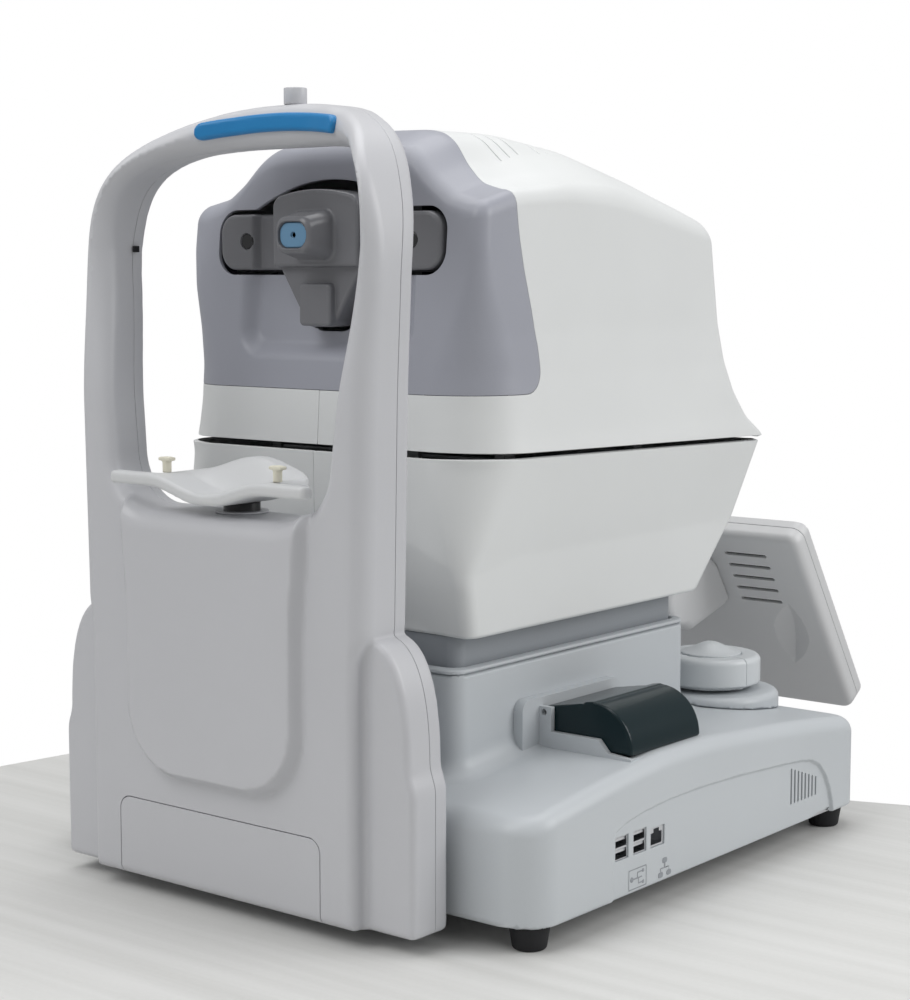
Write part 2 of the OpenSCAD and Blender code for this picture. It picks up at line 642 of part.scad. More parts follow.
// Places a child in the monitor's own frame: y from its back plane towards the screen
module on_monitor() {
  translate([0, mon_y, mon_z]) rotate([lean, 0, 0]) translate([0, -mon_mid, 0]) children();
}
module monitor_bracket() color([0.8, 0.81, 0.82]) difference() {
  union() {
    across(-arm_hw, arm_hw) polygon([[133, 151.5], [172, 175], [215, 160], [215, 136],
      [210.4, 132.3], [161, 117.5], [135, 126]]);
    rod_x([-arm_hw, tilt_y, tilt_z], 15, 2 * arm_hw);
  }
  box([-tongue_hw - 1.5, 100, 100], [tongue_hw + 1.5, 160, 190]);
  rod_x([-arm_hw + 2.8, tilt_y, tilt_z], pin_r + running, 2 * arm_hw - 5.6);
  on_monitor() box([-100, 0, -200], [100, 100, 200]);
}
mon_z0 = mon_above - mon_len;
module mon_plan(inset) {
  rrect(-mon_hw + inset, mon_hw - inset, mon_z0 + inset, mon_above - inset, 9);
}
module monitor_back() color([0.82, 0.82, 0.83]) on_monitor() difference() {
  depth(0, 12) mon_plan(0);
  depth(2.5, 13) mon_plan(2.5);
  for (i = [0:4]) box([66, -10, 29 - i * 11], [102, 3, 31.4 - i * 11]);
  depth(-1, 1.4) rrect(87, 114, -74, -16, 13);
}
module monitor_front() color([0.8, 0.8, 0.81]) on_monitor() difference() {
  depth(12.2, mon_t) mon_plan(0);
  depth(12, mon_t - 2.5) mon_plan(2.5);
  depth(12, mon_t + 1) rrect(-mon_hw + 18, mon_hw - 18, mon_z0 + 18, mon_above - 14, 3);
}
module monitor_screen() color([0.04, 0.05, 0.07]) on_monitor()
  depth(mon_t - 6, mon_t - 2.6) rrect(-mon_hw + 10, mon_hw - 10, mon_z0 + 10, mon_above - 8, 3);

// ---- control knob ----
module knob_shaft() color([0.5, 0.51, 0.53]) {
  rod([knob_x, knob_y, 62], 9, 8);
  rod([knob_x, knob_y, 70], 4, knob_z0 - 70 + 15);
}
module knob() color([0.7, 0.73, 0.76]) translate([knob_x, knob_y, knob_z0]) difference() {
  rotate_extrude() polygon([[0, 0], [30, 0], [30, 2], [33.5, 2], [knob_r, 4], [knob_r, 19],
    [33, 21.5], [26, 22.5], [0, 22.5]]);
  rod([0, 0, -5], 4 + running, 60);
  rod([0, 0, 15.5], 21.4, 20);
}
module knob_button() color([0.73, 0.76, 0.79]) translate([knob_x, knob_y, knob_z0])
  rotate_extrude() polygon([[0, 18], [21, 18], [21, 23], [17, 26.6], [9, 28.2], [0, 28.5]]);

base_cover();
base_plate();
rubber_feet();
foot_screws();
neck_collar();
knob_platform();
usb_ports();
lan_port();
io_board();
main_board();
power_supply();
power_inlet();
power_switch();
lift_column();
lift_motor();
printer_tray();
printer_bezel();
print_head();
feed_roller();
paper_roll();
printer_cover();
frame_front_shell();
frame_rear_shell();
forehead_rest();
access_panel();
eye_marks();
top_peg();
frame_bracket();
bracket_screws();
chin_motor();
chin_collar();
chin_column();
chin_plate();
paper_pins();
lower_casing_left();
lower_casing_right();
upper_neck();
lift_rod();
lift_platform();
x_rails();
x_carriage();
y_rails();
head_plate();
upper_casing_left();
upper_casing_right();
front_panel();
nose_cover();
lens_window();
side_windows();
optics_tube();
monitor_arm();
monitor_bracket();
monitor_back();
monitor_front();
monitor_screen();
monitor_hinge();
knob_shaft();
knob();
knob_button();
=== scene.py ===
"""Looks of the table-top autorefractor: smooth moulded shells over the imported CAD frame."""
import json
import math

import bpy
import numpy as np
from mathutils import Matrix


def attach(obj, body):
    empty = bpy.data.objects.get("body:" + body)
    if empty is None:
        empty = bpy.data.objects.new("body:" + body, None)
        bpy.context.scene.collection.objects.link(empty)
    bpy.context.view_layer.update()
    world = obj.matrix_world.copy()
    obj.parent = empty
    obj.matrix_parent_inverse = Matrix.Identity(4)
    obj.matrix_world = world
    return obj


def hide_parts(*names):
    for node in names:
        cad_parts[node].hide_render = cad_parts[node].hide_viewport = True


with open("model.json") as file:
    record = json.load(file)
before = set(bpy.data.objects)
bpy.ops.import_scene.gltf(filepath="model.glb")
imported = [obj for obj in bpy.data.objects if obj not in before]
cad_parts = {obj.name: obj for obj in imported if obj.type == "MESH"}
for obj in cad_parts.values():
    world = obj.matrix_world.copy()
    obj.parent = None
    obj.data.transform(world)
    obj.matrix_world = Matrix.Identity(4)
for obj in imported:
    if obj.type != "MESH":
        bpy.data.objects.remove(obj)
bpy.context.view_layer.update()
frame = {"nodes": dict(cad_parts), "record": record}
MM = 0.001

# ------------------------------------------------------------------ camera, light, floor
scene = bpy.context.scene
camera = bpy.data.objects.new("camera", bpy.data.cameras.new("camera"))
scene.collection.objects.link(camera)
camera.location = (0.8646, -1.1235, 0.382)
camera.rotation_euler = (math.radians(90 - 6.33), 0, math.radians(38.9))
camera.data.lens = 74.6
camera.data.sensor_width = 36
camera.data.clip_start = 0.05
scene.camera = camera


def area_light(name, place, target, size, watts):
    lamp = bpy.data.lights.new(name, "AREA")
    lamp.shape, lamp.size, lamp.size_y = "RECTANGLE", size[0], size[1]
    lamp.energy = watts
    o = bpy.data.objects.new(name, lamp)
    o.location = place
    aim = np.array(target, float) - np.array(place, float)
    o.rotation_euler = (math.atan2(math.hypot(aim[0], aim[1]), -aim[2]), 0, math.atan2(-aim[0], aim[1]))
    scene.collection.objects.link(o)


area_light("key", (-0.5, -1.5, 1.8), (0, 0, 0.25), (1.4, 1.2), 17)
area_light("side", (1.8, 0.8, 1.3), (0, 0, 0.25), (1.4, 1.4), 21)
area_light("top", (-0.2, 0.2, 2.0), (0, 0, 0.2), (1.6, 1.6), 17)
world = bpy.data.worlds.new("studio")
scene.world = world
world.use_nodes = True
background = world.node_tree.nodes["Background"]
background.inputs[0].default_value = (1, 1, 1, 1)
path = world.node_tree.nodes.new("ShaderNodeLightPath")
amount = world.node_tree.nodes.new("ShaderNodeMapRange")
amount.inputs["To Min"].default_value = 0.38
amount.inputs["To Max"].default_value = 1.0
world.node_tree.links.new(path.outputs["Is Camera Ray"], amount.inputs["Value"])
world.node_tree.links.new(amount.outputs["Result"], background.inputs[1])
scene.view_settings.view_transform = "Standard"

floor_mesh = bpy.data.meshes.new("floor")
TABLE_CORNERS = [(-0.416, -0.25, 0), (-0.56, -2.2, 0), (3.0, -1.6, 0), (1.4, 0.64, 0), (-0.379, 0.005, 0)]
floor_mesh.from_pydata(TABLE_CORNERS, [], [range(len(TABLE_CORNERS))])
floor = bpy.data.objects.new("floor", floor_mesh)
scene.collection.objects.link(floor)


# ------------------------------------------------------------------ materials
# The colour sockets of a mix node, whose names its number and vector sockets share
FIRST, SECOND, MIXED = 6, 7, 2


def material(name, colour, rough=0.42, grain=0.25, grain_scale=2600.0, metal=0.0, tint=0.035,
             coat=0.0, ior=1.46, streaks=0.0):
    """Moulded or metal finish: fine surface grain, slow colour drift, uneven gloss."""
    m = bpy.data.materials.new(name)
    m.use_nodes = True
    nt = m.node_tree
    bsdf = nt.nodes["Principled BSDF"]
    coord = nt.nodes.new("ShaderNodeTexCoord")

    def noise(scale, detail):
        n = nt.nodes.new("ShaderNodeTexNoise")
        n.inputs["Scale"].default_value = scale
        n.inputs["Detail"].default_value = detail
        n.inputs["Roughness"].default_value = 0.55
        nt.links.new(coord.outputs["Object"], n.inputs["Vector"])
        return n

    slow, fine = noise(9.0, 3.0), noise(grain_scale, 2.0)
    ramp = nt.nodes.new("ShaderNodeMix")
    ramp.data_type = "RGBA"
    dark = tuple(max(0.0, c * (1 - tint)) for c in colour)
    light = tuple(min(1.0, c * (1 + tint)) for c in colour)
    ramp.inputs[FIRST].default_value = dark + (1,)
    ramp.inputs[SECOND].default_value = light + (1,)
    nt.links.new(slow.outputs["Fac"], ramp.inputs[0])
    speck = nt.nodes.new("ShaderNodeMix")
    speck.data_type = "RGBA"
    speck.blend_type = "OVERLAY"
    speck.inputs[0].default_value = 0.06
    nt.links.new(ramp.outputs[MIXED], speck.inputs[FIRST])
    nt.links.new(fine.outputs["Fac"], speck.inputs[SECOND])
    finish = speck.outputs[MIXED]
    if streaks:
        stretch = nt.nodes.new("ShaderNodeMapping")
        stretch.inputs["Rotation"].default_value = (0, 0, math.radians(-35))
        stretch.inputs["Scale"].default_value = (1.5, 60, 1)
        nt.links.new(coord.outputs["Object"], stretch.inputs["Vector"])
        lines = noise(1.0, 5.0)
        nt.links.new(stretch.outputs["Vector"], lines.inputs["Vector"])
        grained = nt.nodes.new("ShaderNodeMix")
        grained.data_type = "RGBA"
        grained.blend_type = "OVERLAY"
        grained.inputs[0].default_value = streaks
        nt.links.new(finish, grained.inputs[FIRST])
        nt.links.new(lines.outputs["Fac"], grained.inputs[SECOND])
        finish = grained.outputs[MIXED]
    nt.links.new(finish, bsdf.inputs["Base Color"])
    gloss = nt.nodes.new("ShaderNodeMapRange")
    gloss.inputs["To Min"].default_value = max(0.02, rough - 0.05)
    gloss.inputs["To Max"].default_value = min(1.0, rough + 0.06)
    nt.links.new(slow.outputs["Fac"], gloss.inputs["Value"])
    nt.links.new(gloss.outputs["Result"], bsdf.inputs["Roughness"])
    bump = nt.nodes.new("ShaderNodeBump")
    bump.inputs["Strength"].default_value = grain
    bump.inputs["Distance"].default_value = 0.00006
    nt.links.new(fine.outputs["Fac"], bump.inputs["Height"])
    nt.links.new(bump.outputs["Normal"], bsdf.inputs["Normal"])
    bsdf.inputs["Metallic"].default_value = metal
    bsdf.inputs["IOR"].default_value = ior
    bsdf.inputs["Coat Weight"].default_value = coat
    return m


SLOT = {
    "base_plastic": material("base_plastic", (0.555, 0.585, 0.61), 0.36),
    "frame_plastic": material("frame_plastic", (0.57, 0.575, 0.60), 0.32, 0.15),
    "white_plastic": material("white_plastic", (0.75, 0.765, 0.765), 0.42),
    "panel_grey": material("panel_grey", (0.36, 0.37, 0.42), 0.36, 0.3),
    "nose_grey": material("nose_grey", (0.175, 0.177, 0.19), 0.26, 0.25),
    "neck_grey": material("neck_grey", (0.30, 0.32, 0.345), 0.45),
    "forehead_blue": material("forehead_blue", (0.012, 0.21, 0.50), 0.38, 0.3),
    "chin_plastic": material("chin_plastic", (0.66, 0.67, 0.68), 0.4),
    "pin_ivory": material("pin_ivory", (0.80, 0.77, 0.64), 0.5),
    "black_rubber": material("black_rubber", (0.012, 0.012, 0.014), 0.7, 0.6),
    "black_plastic": material("black_plastic", (0.012, 0.012, 0.014), 0.35),
    "smoked_cover": material("smoked_cover", (0.002, 0.014, 0.018), 0.22, 0.05, coat=0.1, ior=1.35),
    "lens_glass": material("lens_glass", (0.13, 0.27, 0.42), 0.25, 0.05, coat=0.3),
    "dark_glass": material("dark_glass", (0.008, 0.009, 0.01), 0.15, 0.02, coat=0.5),
    "screen_glass": material("screen_glass", (0.012, 0.016, 0.024), 0.08, 0.02, coat=0.8),
    "knob_plastic": material("knob_plastic", (0.66, 0.69, 0.71), 0.3, 0.1),
    "monitor_plastic": material("monitor_plastic", (0.67, 0.675, 0.685), 0.4),
    "steel": material("steel", (0.55, 0.56, 0.58), 0.3, 0.2, 900, metal=1.0),
    "alu": material("alu", (0.6, 0.61, 0.63), 0.36, 0.3, 700, metal=1.0),
    "socket_metal": material("socket_metal", (0.6, 0.61, 0.63), 0.28, 0.1, metal=1.0),
    "dark_metal": material("dark_metal", (0.05, 0.052, 0.057), 0.45, 0.4, metal=0.6),
    "board_green": material("board_green", (0.01, 0.07, 0.03), 0.4, 0.4, 400),
    "paper_white": material("paper_white", (0.85, 0.85, 0.82), 0.75, 0.6, 1500),
}
FLOOR = material("table", (0.69, 0.69, 0.675), 0.5, 0.3, 300, tint=0.015, streaks=0.3)
floor.data.materials.append(FLOOR)


# ------------------------------------------------------------------ shape helpers (millimetres)
def soft_and(a, b, r):
    """Intersection of two solids, given by their distances, with the edge rounded to r."""
    return np.minimum(-r, np.maximum(a, b)) + np.hypot(np.maximum(a + r, 0), np.maximum(b + r, 0))


def soft_or(a, b, r):
    """Union of two solids, with the inner corner between them filled to r."""
    return -soft_and(-a, -b, r)


def smooth(t):
    """A step from 0 to 1 with soft ends."""
    t = np.clip(t, 0, 1)
    return t * t * (3 - 2 * t)


def rounded(x, y, cx, cy, hx, hy, r):
    """Distance to a rounded rectangle."""
    qx, qy = np.abs(x - cx) - (hx - r), np.abs(y - cy) - (hy - r)
    return np.hypot(np.maximum(qx, 0), np.maximum(qy, 0)) + np.minimum(np.maximum(qx, qy), 0) - r


def superellipse(x, z, a, b, n):
    """Near its edge, the distance to a superellipse with half axes a and b."""
    u, v = np.abs(x / a) + 1e-9, np.abs(z / b) + 1e-9
    s = u ** n + v ** n
    size = s ** (1 / n)
    slope = np.hypot(size / s * u ** (n - 1) / a, size / s * v ** (n - 1) / b)
    return np.maximum((size - 1) / slope, -60.0)


def curve(points, width):
    """A value that follows points (at, value), with its corners rounded over width."""
    at, value = zip(*points)
    t = np.arange(at[0] - 60, at[-1] + 60, 1.0)
    w = np.hanning(2 * width + 3)
    line = np.interp(t, at, value)
    line = np.convolve(np.pad(line, len(w) // 2, "edge"), w / w.sum(), "valid")
    return lambda q: np.interp(q, t, line)


def gradient(f, v, step=0.05):
    g = np.empty_like(v)
    for axis in range(3):
        d = np.zeros(3)
        d[axis] = step
        g[:, axis] = (f(v + d) - f(v - d)) / (2 * step)
    return g


def settle(f, v, limit, rounds=3):
    """Moves points onto f = 0."""
    for _ in range(rounds):
        g = gradient(f, v)
        move = g * (f(v) / np.maximum((g * g).sum(1), 1e-9))[:, None]
        size = np.linalg.norm(move, axis=1, keepdims=True)
        v = v - move * np.minimum(1, limit / np.maximum(size, 1e-9))
    return v


# Grid cells along each side of a block of the sparse grid
BLOCK = 6
# Field value that means far outside
FAR = 99.0


def surface(field, low, high, pitch, reach=1.35):
    """Triangle mesh of field = 0 inside a box, on a grid that is only filled near the surface."""
    low = np.array(low, float) - 0.37 * pitch
    count = np.ceil((np.array(high) - low) / (BLOCK * pitch)).astype(int) + 1
    blocks = np.stack(np.meshgrid(*[np.arange(k) for k in count], indexing="ij"), -1).reshape(-1, 3)
    middle = low + (blocks + 0.5) * BLOCK * pitch
    blocks = blocks[np.abs(field(middle)) < reach * BLOCK * pitch]
    local = np.stack(np.meshgrid(*[np.arange(BLOCK + 1)] * 3, indexing="ij"), -1)
    lattice = blocks[:, None, None, None, :] * BLOCK + local
    value = field(low + lattice.reshape(-1, 3) * pitch).reshape(lattice.shape[:4])
    inside = value < 0
    total = sum(inside[:, a:a + BLOCK, b:b + BLOCK, c:c + BLOCK].astype(int)
                for a in (0, 1) for b in (0, 1) for c in (0, 1))
    b, *cell = np.nonzero((total > 0) & (total < 8))
    cell = np.stack(cell, 1)
    centre, hits = np.zeros((len(b), 3)), np.zeros(len(b))
    for axis in range(3):
        u, w = (axis + 1) % 3, (axis + 2) % 3
        for du in (0, 1):
            for dw in (0, 1):
                start = cell.copy()
                start[:, u] += du
                start[:, w] += dw
                end = start.copy()
                end[:, axis] += 1
                v0, v1 = value[(b, *start.T)], value[(b, *end.T)]
                m = (v0 < 0) != (v1 < 0)
                at = start[m].astype(float)
                at[:, axis] += v0[m] / (v0[m] - v1[m])
                centre[m] += at
                hits[m] += 1
    size = count * BLOCK + 2

    def key(g):
        return (g[:, 0] * size[1] + g[:, 1]) * size[2] + g[:, 2]

    v = low + (blocks[b] * BLOCK + centre / hits[:, None]) * pitch
    keys = key(blocks[b] * BLOCK + cell)
    order = np.argsort(keys)
    v, keys = v[order], keys[order]
    quads = []
    for axis in range(3):
        u, w = np.eye(3, dtype=int)[(axis + 1) % 3], np.eye(3, dtype=int)[(axis + 2) % 3]
        first = inside[:, :BLOCK, :BLOCK, :BLOCK]
        next_x, next_y, next_z = (slice(int(axis == k), BLOCK + int(axis == k)) for k in range(3))
        second = inside[:, next_x, next_y, next_z]
        e, *p = np.nonzero(first != second)
        p = blocks[e] * BLOCK + np.stack(p, 1)
        out = first[(e, *(p - blocks[e] * BLOCK).T)]
        corner = np.stack([np.searchsorted(keys, key(q)) for q in (p - u - w, p - w, p, p - u)], 1)
        corner = np.minimum(corner, len(keys) - 1)
        real = np.stack([keys[corner[:, i]] == key(q)
                         for i, q in enumerate((p - u - w, p - w, p, p - u))], 1).all(1)
        corner, out = corner[real], out[real]
        corner[~out] = corner[~out][:, ::-1]
        quads.append(corner)
    q = np.concatenate(quads)
    v = settle(field, v, pitch)
    edges = np.concatenate([q[:, [0, 1]], q[:, [1, 2]], q[:, [2, 3]], q[:, [3, 0]]])
    edges = np.concatenate([edges, edges[:, ::-1]])
    for _ in range(2):
        near = np.zeros_like(v)
        number = np.zeros(len(v))
        np.add.at(near, edges[:, 0], v[edges[:, 1]])
        np.add.at(number, edges[:, 0], 1)
        g = gradient(field, v)
        g /= np.maximum(np.linalg.norm(g, axis=1, keepdims=True), 1e-9)
        pull = near / np.maximum(number, 1)[:, None] - v
        v = settle(field, v + 0.6 * (pull - (pull * g).sum(1, keepdims=True) * g), pitch, 2)
    diagonals = [np.linalg.norm(v[q[:, i]] - v[q[:, j]], axis=1) for i, j in ((0, 2), (1, 3))]
    short = diagonals[0] < diagonals[1]
    t = np.where(short[:, None], q[:, [0, 1, 2, 0, 2, 3]], q[:, [0, 1, 3, 1, 2, 3]]).reshape(-1, 3)
    return v, t


def compact(v, t):
    """Drops the points that no triangle uses."""
    used, inverse = np.unique(t, return_inverse=True)
    return v[used], inverse.reshape(-1, 3)


def meet(f, g, v, rounds=4):
    """Moves points onto both f = 0 and g = 0."""
    for _ in range(rounds):
        a, b = gradient(f, v), gradient(g, v)
        aa, bb, ab = (a * a).sum(1), (b * b).sum(1), (a * b).sum(1)
        det = np.maximum(aa * bb - ab * ab, 1e-6)
        rf, rg = f(v), g(v)
        s, t = (rf * bb - rg * ab) / det, (rg * aa - rf * ab) / det
        move = s[:, None] * a + t[:, None] * b
        size = np.linalg.norm(move, axis=1, keepdims=True)
        v = v - move * np.minimum(1, 1.5 / np.maximum(size, 1e-9))
    return v


def refine(v, t, f, near):
    """Splits the triangles that touch the region where near(points) is true."""
    hit = near(v[t].mean(1))
    e = np.sort(np.concatenate([t[:, [0, 1]], t[:, [1, 2]], t[:, [2, 0]]]), 1)
    unique, index = np.unique(e, axis=0, return_inverse=True)
    index = index.reshape(3, -1).T
    marked = np.zeros(len(unique), bool)
    marked[index[hit].ravel()] = True
    new = np.full(len(unique), -1)
    new[marked] = len(v) + np.arange(marked.sum())
    added = v[unique[marked]].mean(1)
    v = np.concatenate([v, settle(f, added, 1.0, 2)])
    m = marked[index]
    number = m.sum(1)
    parts = [t[number == 0]]
    a, b, c = t.T
    p, q, r = new[index].T
    k = number == 3
    parts += [np.stack(s, 1)[k] for s in ((a, p, r), (p, b, q), (r, q, c), (p, q, r))]
    for turn in range(3):
        aa, bb, cc = np.roll(t, -turn, 1).T
        pp, qq, rr = np.roll(new[index], -turn, 1).T
        one = (number == 1) & (pp >= 0)
        two = (number == 2) & (rr < 0)
        parts += [np.stack(s, 1)[one] for s in ((aa, pp, cc), (pp, bb, cc))]
        parts += [np.stack(s, 1)[two] for s in ((pp, bb, qq), (aa, pp, cc), (pp, qq, cc))]
    return v, np.concatenate(parts)


def trim(v, t, f, g, snap=0.5):
    """Keeps the part of a mesh where g < 0, with its new edge exactly on g = 0."""
    s = g(v)
    near = np.abs(s) < snap
    if near.any():
        v = v.copy()
        v[near] = meet(f, g, v[near])
        s = s.copy()
        s[near] = 0
    st = s[t]
    keep = (st <= 0).all(1) & (st < 0).any(1)
    cut = t[(st > 0).any(1) & (st < 0).any(1)]
    e = np.concatenate([cut[:, [0, 1]], cut[:, [1, 2]], cut[:, [2, 0]]])
    e = np.unique(np.sort(e[s[e[:, 0]] * s[e[:, 1]] < 0], 1), axis=0)
    if len(e):
        w = (s[e[:, 0]] / (s[e[:, 0]] - s[e[:, 1]]))[:, None]
        fresh = meet(f, g, v[e[:, 0]] * (1 - w) + v[e[:, 1]] * w)
        number = {(int(i), int(j)): len(v) + k for k, (i, j) in enumerate(e)}
        v = np.concatenate([v, fresh])
    parts = []
    for tri in cut.tolist():
        ring = []
        for k in range(3):
            i, j = tri[k], tri[(k + 1) % 3]
            if s[i] <= 0:
                ring.append(i)
            if s[i] * s[j] < 0:
                ring.append(number[(min(i, j), max(i, j))])
        parts += [(ring[0], ring[k], ring[k + 1]) for k in range(1, len(ring) - 1)]
    t = np.concatenate([t[keep], np.array(parts, int).reshape(-1, 3)])
    return compact(v, t)


def link(name, v, t, normals, slot, body, nodes=()):
    """Makes the Blender object of a triangle mesh given in millimetres."""
    mesh = bpy.data.meshes.new(name)
    mesh.vertices.add(len(v))
    mesh.vertices.foreach_set("co", (v * MM).astype(np.float32).ravel())
    mesh.loops.add(t.size)
    mesh.loops.foreach_set("vertex_index", t.astype(np.int32).ravel())
    mesh.polygons.add(len(t))
    mesh.polygons.foreach_set("loop_start", np.arange(0, t.size, 3, dtype=np.int32))
    mesh.polygons.foreach_set("use_smooth", np.full(len(t), True))
    mesh.update(calc_edges=True)
    mesh.normals_split_custom_set(normals.reshape(-1, 3).tolist())
    mesh.materials.append(SLOT[slot])
    o = bpy.data.objects.new(name, mesh)
    scene.collection.objects.link(o)
    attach(o, body)
    if nodes:
        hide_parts(*nodes)
    return o


def unit(a):
    return a / np.maximum(np.linalg.norm(a, axis=-1, keepdims=True), 1e-9)


def solid_piece(name, v, t, f, slot, body, nodes=()):
    """A closed mesh, shaded with the field's own normals."""
    n = unit(gradient(f, v))
    return link(name, v, t, n[t], slot, body, nodes)


def shell_piece(name, v, t, f, slot, body, nodes=(), wall=2.5, edge=0.35):
    """Gives an open mesh a wall, and a small rounded edge along its border."""
    n = unit(gradient(f, v))
    directed = np.concatenate([t[:, [0, 1]], t[:, [1, 2]], t[:, [2, 0]]])
    code = directed[:, 0] * len(v) + directed[:, 1]
    back = directed[:, 1] * len(v) + directed[:, 0]
    border = directed[~np.isin(code, back)]
    a, b = border.T
    away = np.cross(unit(v[b] - v[a]), n[a])
    out = np.zeros_like(v)
    np.add.at(out, a, away)
    np.add.at(out, b, away)
    out -= (out * n).sum(1, keepdims=True) * n
    out = unit(out)
    ring = np.unique(border)
    place = np.full(len(v), -1)
    place[ring] = np.arange(len(ring))
    size, more = len(v), len(ring)
    middle = v[ring] + edge * (out[ring] * 0.70 - n[ring] * 0.30)
    ring_b = v[ring] + edge * (out[ring] - n[ring])
    ring_c = v[ring] + edge * out[ring] - wall * n[ring]
    points = np.concatenate([v, v - wall * n, middle, ring_b, ring_c])
    m0, b0, c0 = 2 * size, 2 * size + more, 2 * size + 2 * more
    pa, pb = place[a], place[b]
    na, nb, oa, ob = n[a], n[b], out[a], out[b]
    ka, kb = unit(na + oa), unit(nb + ob)
    tris, norms = [t, t[:, ::-1] + size], [n[t], -n[t[:, ::-1]]]
    for (i, j, k, l), (ni, nj, nk, nl) in (
            ((b, a, m0 + pa, m0 + pb), (nb, na, ka, kb)),
            ((m0 + pb, m0 + pa, b0 + pa, b0 + pb), (kb, ka, oa, ob)),
            ((b0 + pb, b0 + pa, c0 + pa, c0 + pb), (ob, oa, oa, ob)),
            ((c0 + pb, c0 + pa, a + size, b + size), (-nb, -na, -na, -nb))):
        tris += [np.stack((i, j, k), 1), np.stack((i, k, l), 1)]
        norms += [np.stack((ni, nj, nk), 1), np.stack((ni, nk, nl), 1)]
    return link(name, points, np.concatenate(tris), np.concatenate(norms), slot, body, nodes)


def split3(p):
    """The x, y and z of an array of points."""
    return p[:, 0], p[:, 1], p[:, 2]


# ------------------------------------------------------------------ face frame
def rise(z):
    """How far the frame has moved from its lower to its upper depth at height z."""
    return smooth((z - 300) / 100)


# How far the upper frame's sides come forward of its middle, by distance from the middle
BOW = curve([(-1, 0), (30, -1.4), (56, -8.8), (75, -21), (88, -33), (99, -43.5), (109, -49.5),
             (125, -50)], 9)


def bow(x):
    return BOW(np.abs(x))


def frame_front_y(x, z):
    up = rise(z)
    flare = 5 * smooth((z - 170) / 80)
    pad = rounded(x, z, 0, 290, 70 + flare, 211, 42)
    return (1 - up) * -278 + up * (-222 + bow(x)) - 7.7 * (1 - smooth((pad + 4.3) / 7)) * (z < 270)


def frame_rear_y(x, z):
    up = rise(z)
    deep = 13 * smooth((np.abs(x) - 62) / 45) * smooth((z - 375) / 85)
    return (1 - up) * -237 + up * (-185 + bow(x)) + deep


# Lower edge of the face window, and the height where its sides meet its arched top
SILL = 239.5
WINDOW_SPRING = 395
# Half width and height of the frame's outline where its arched top begins
FRAME_HALF, FRAME_SPRING = 119, 375
WING_HALF = curve([(60, 145), (94, 145), (105, 141), (200, 141)], 5)


def window_edge(x, y, z):
    """Distance inside the face window: below 0 in the opening."""
    t = np.clip((y - frame_rear_y(x, z) + 41) / 41, 0, 1)
    half = 102.3 + 2.2 * t
    side = np.abs(x) - (half - (0.13 - 0.065 * t) * (WINDOW_SPRING - z))
    low = soft_and(side, SILL - z, 30.0)
    arch = superellipse(x, z - WINDOW_SPRING, half, 58 + 3 * t, 3.8)
    return np.where(z > WINDOW_SPRING, arch, low)


def frame_field(p):
    x, y, z = split3(p)
    front, rear = frame_front_y(x, z), frame_rear_y(x, z)
    high = smooth((z - 163) / 20)
    half = 109 + (FRAME_HALF - 0.019 * (FRAME_SPRING - z) - 109) * high
    arch = superellipse(x, z - FRAME_SPRING, FRAME_HALF, 105, 2.6)
    outer = np.where(z < FRAME_SPRING, np.abs(x) - half, arch)
    outer = soft_and(outer, 10 - z, 4.0)
    outline = np.maximum(outer, -window_edge(x, y, z))
    main = soft_and(outline, (front - y) * 0.95, 6 + 6 * high)
    main = soft_and(main, (y - rear) * 0.95, 4.5)
    wing_half = WING_HALF(z)
    wing = superellipse(np.maximum(np.abs(x) - 105, 0), np.maximum(z - 100, 0),
                        wing_half - 105, 78, 2.6)
    wing = soft_and(wing, 10 - z, 4.0)
    wing = soft_and(soft_and(wing, -268 - y, 4.0), y + 237, 4.0)
    return soft_or(main, wing, 3.0)


def frame_seam(p):
    """Distance behind the parting line of the two frame shells."""
    x, y, z = split3(p)
    return y - frame_rear_y(x, z) + 11.5


def panel_outline(p):
    return rounded(p[:, 0], p[:, 2], 0, 32, 84, 28.5, 9)


fv, ft = surface(frame_field, (-150, -290, 6), (150, -180, 484), 2.2)
v, t = trim(fv, ft, frame_field, lambda p: frame_seam(p) + 0.9)
pv, pt = trim(v, t, frame_field, lambda p: np.maximum(panel_outline(p) + 1.1, p[:, 1] + 270))
v, t = trim(v, t, frame_field, lambda p: -np.maximum(panel_outline(p) - 0.1, p[:, 1] + 270))
shell_piece("face_frame_front", v, t, frame_field, "frame_plastic", "base", ["frame_front_shell"])
shell_piece("face_frame_panel", pv, pt, frame_field, "frame_plastic", "base", ["access_panel"], 1.6)
v, t = trim(fv, ft, frame_field, lambda p: 0.15 - frame_seam(p))
shell_piece("face_frame_rear", v, t, frame_field, "frame_plastic", "base", ["frame_rear_shell"])


# ------------------------------------------------------------------ lower casing of the head
LOW_HALF = curve([(165, 116.5), (211, 118), (272, 131), (290, 135)], 3)
LOW_FRONT = curve([(165, -180), (215, -190), (272, -191)], 3)
LOW_REAR = curve([(165, 73), (212, 116), (268, 133), (290, 139)], 4)
LOW_CORNER = curve([(205, 9), (225, 18), (272, 46)], 6)
GAP_TILT = 7 / 323


def rim(y):
    """Height of the gap between the lower and the upper casing, which slopes down to the rear."""
    return 272 - GAP_TILT * (y + 190)


def lower_field(p):
    x, y, z = split3(p)
    corner = smooth((np.abs(x) - 70) / 45) * smooth((-y - 130) / 50)
    middle = (1 - smooth((np.abs(x) - 70) / 40)) * smooth((-y - 120) / 60)
    zs = z + 7 * corner - 6 * middle
    half, y0, y1 = LOW_HALF(zs), LOW_FRONT(zs), LOW_REAR(zs)
    r = np.where(y < -20, LOW_CORNER(zs), 14)
    d = rounded(x, y, 0, (y0 + y1) / 2, half, (y1 - y0) / 2, r) * 0.92
    return soft_and(d, 165 - z, 2.5)


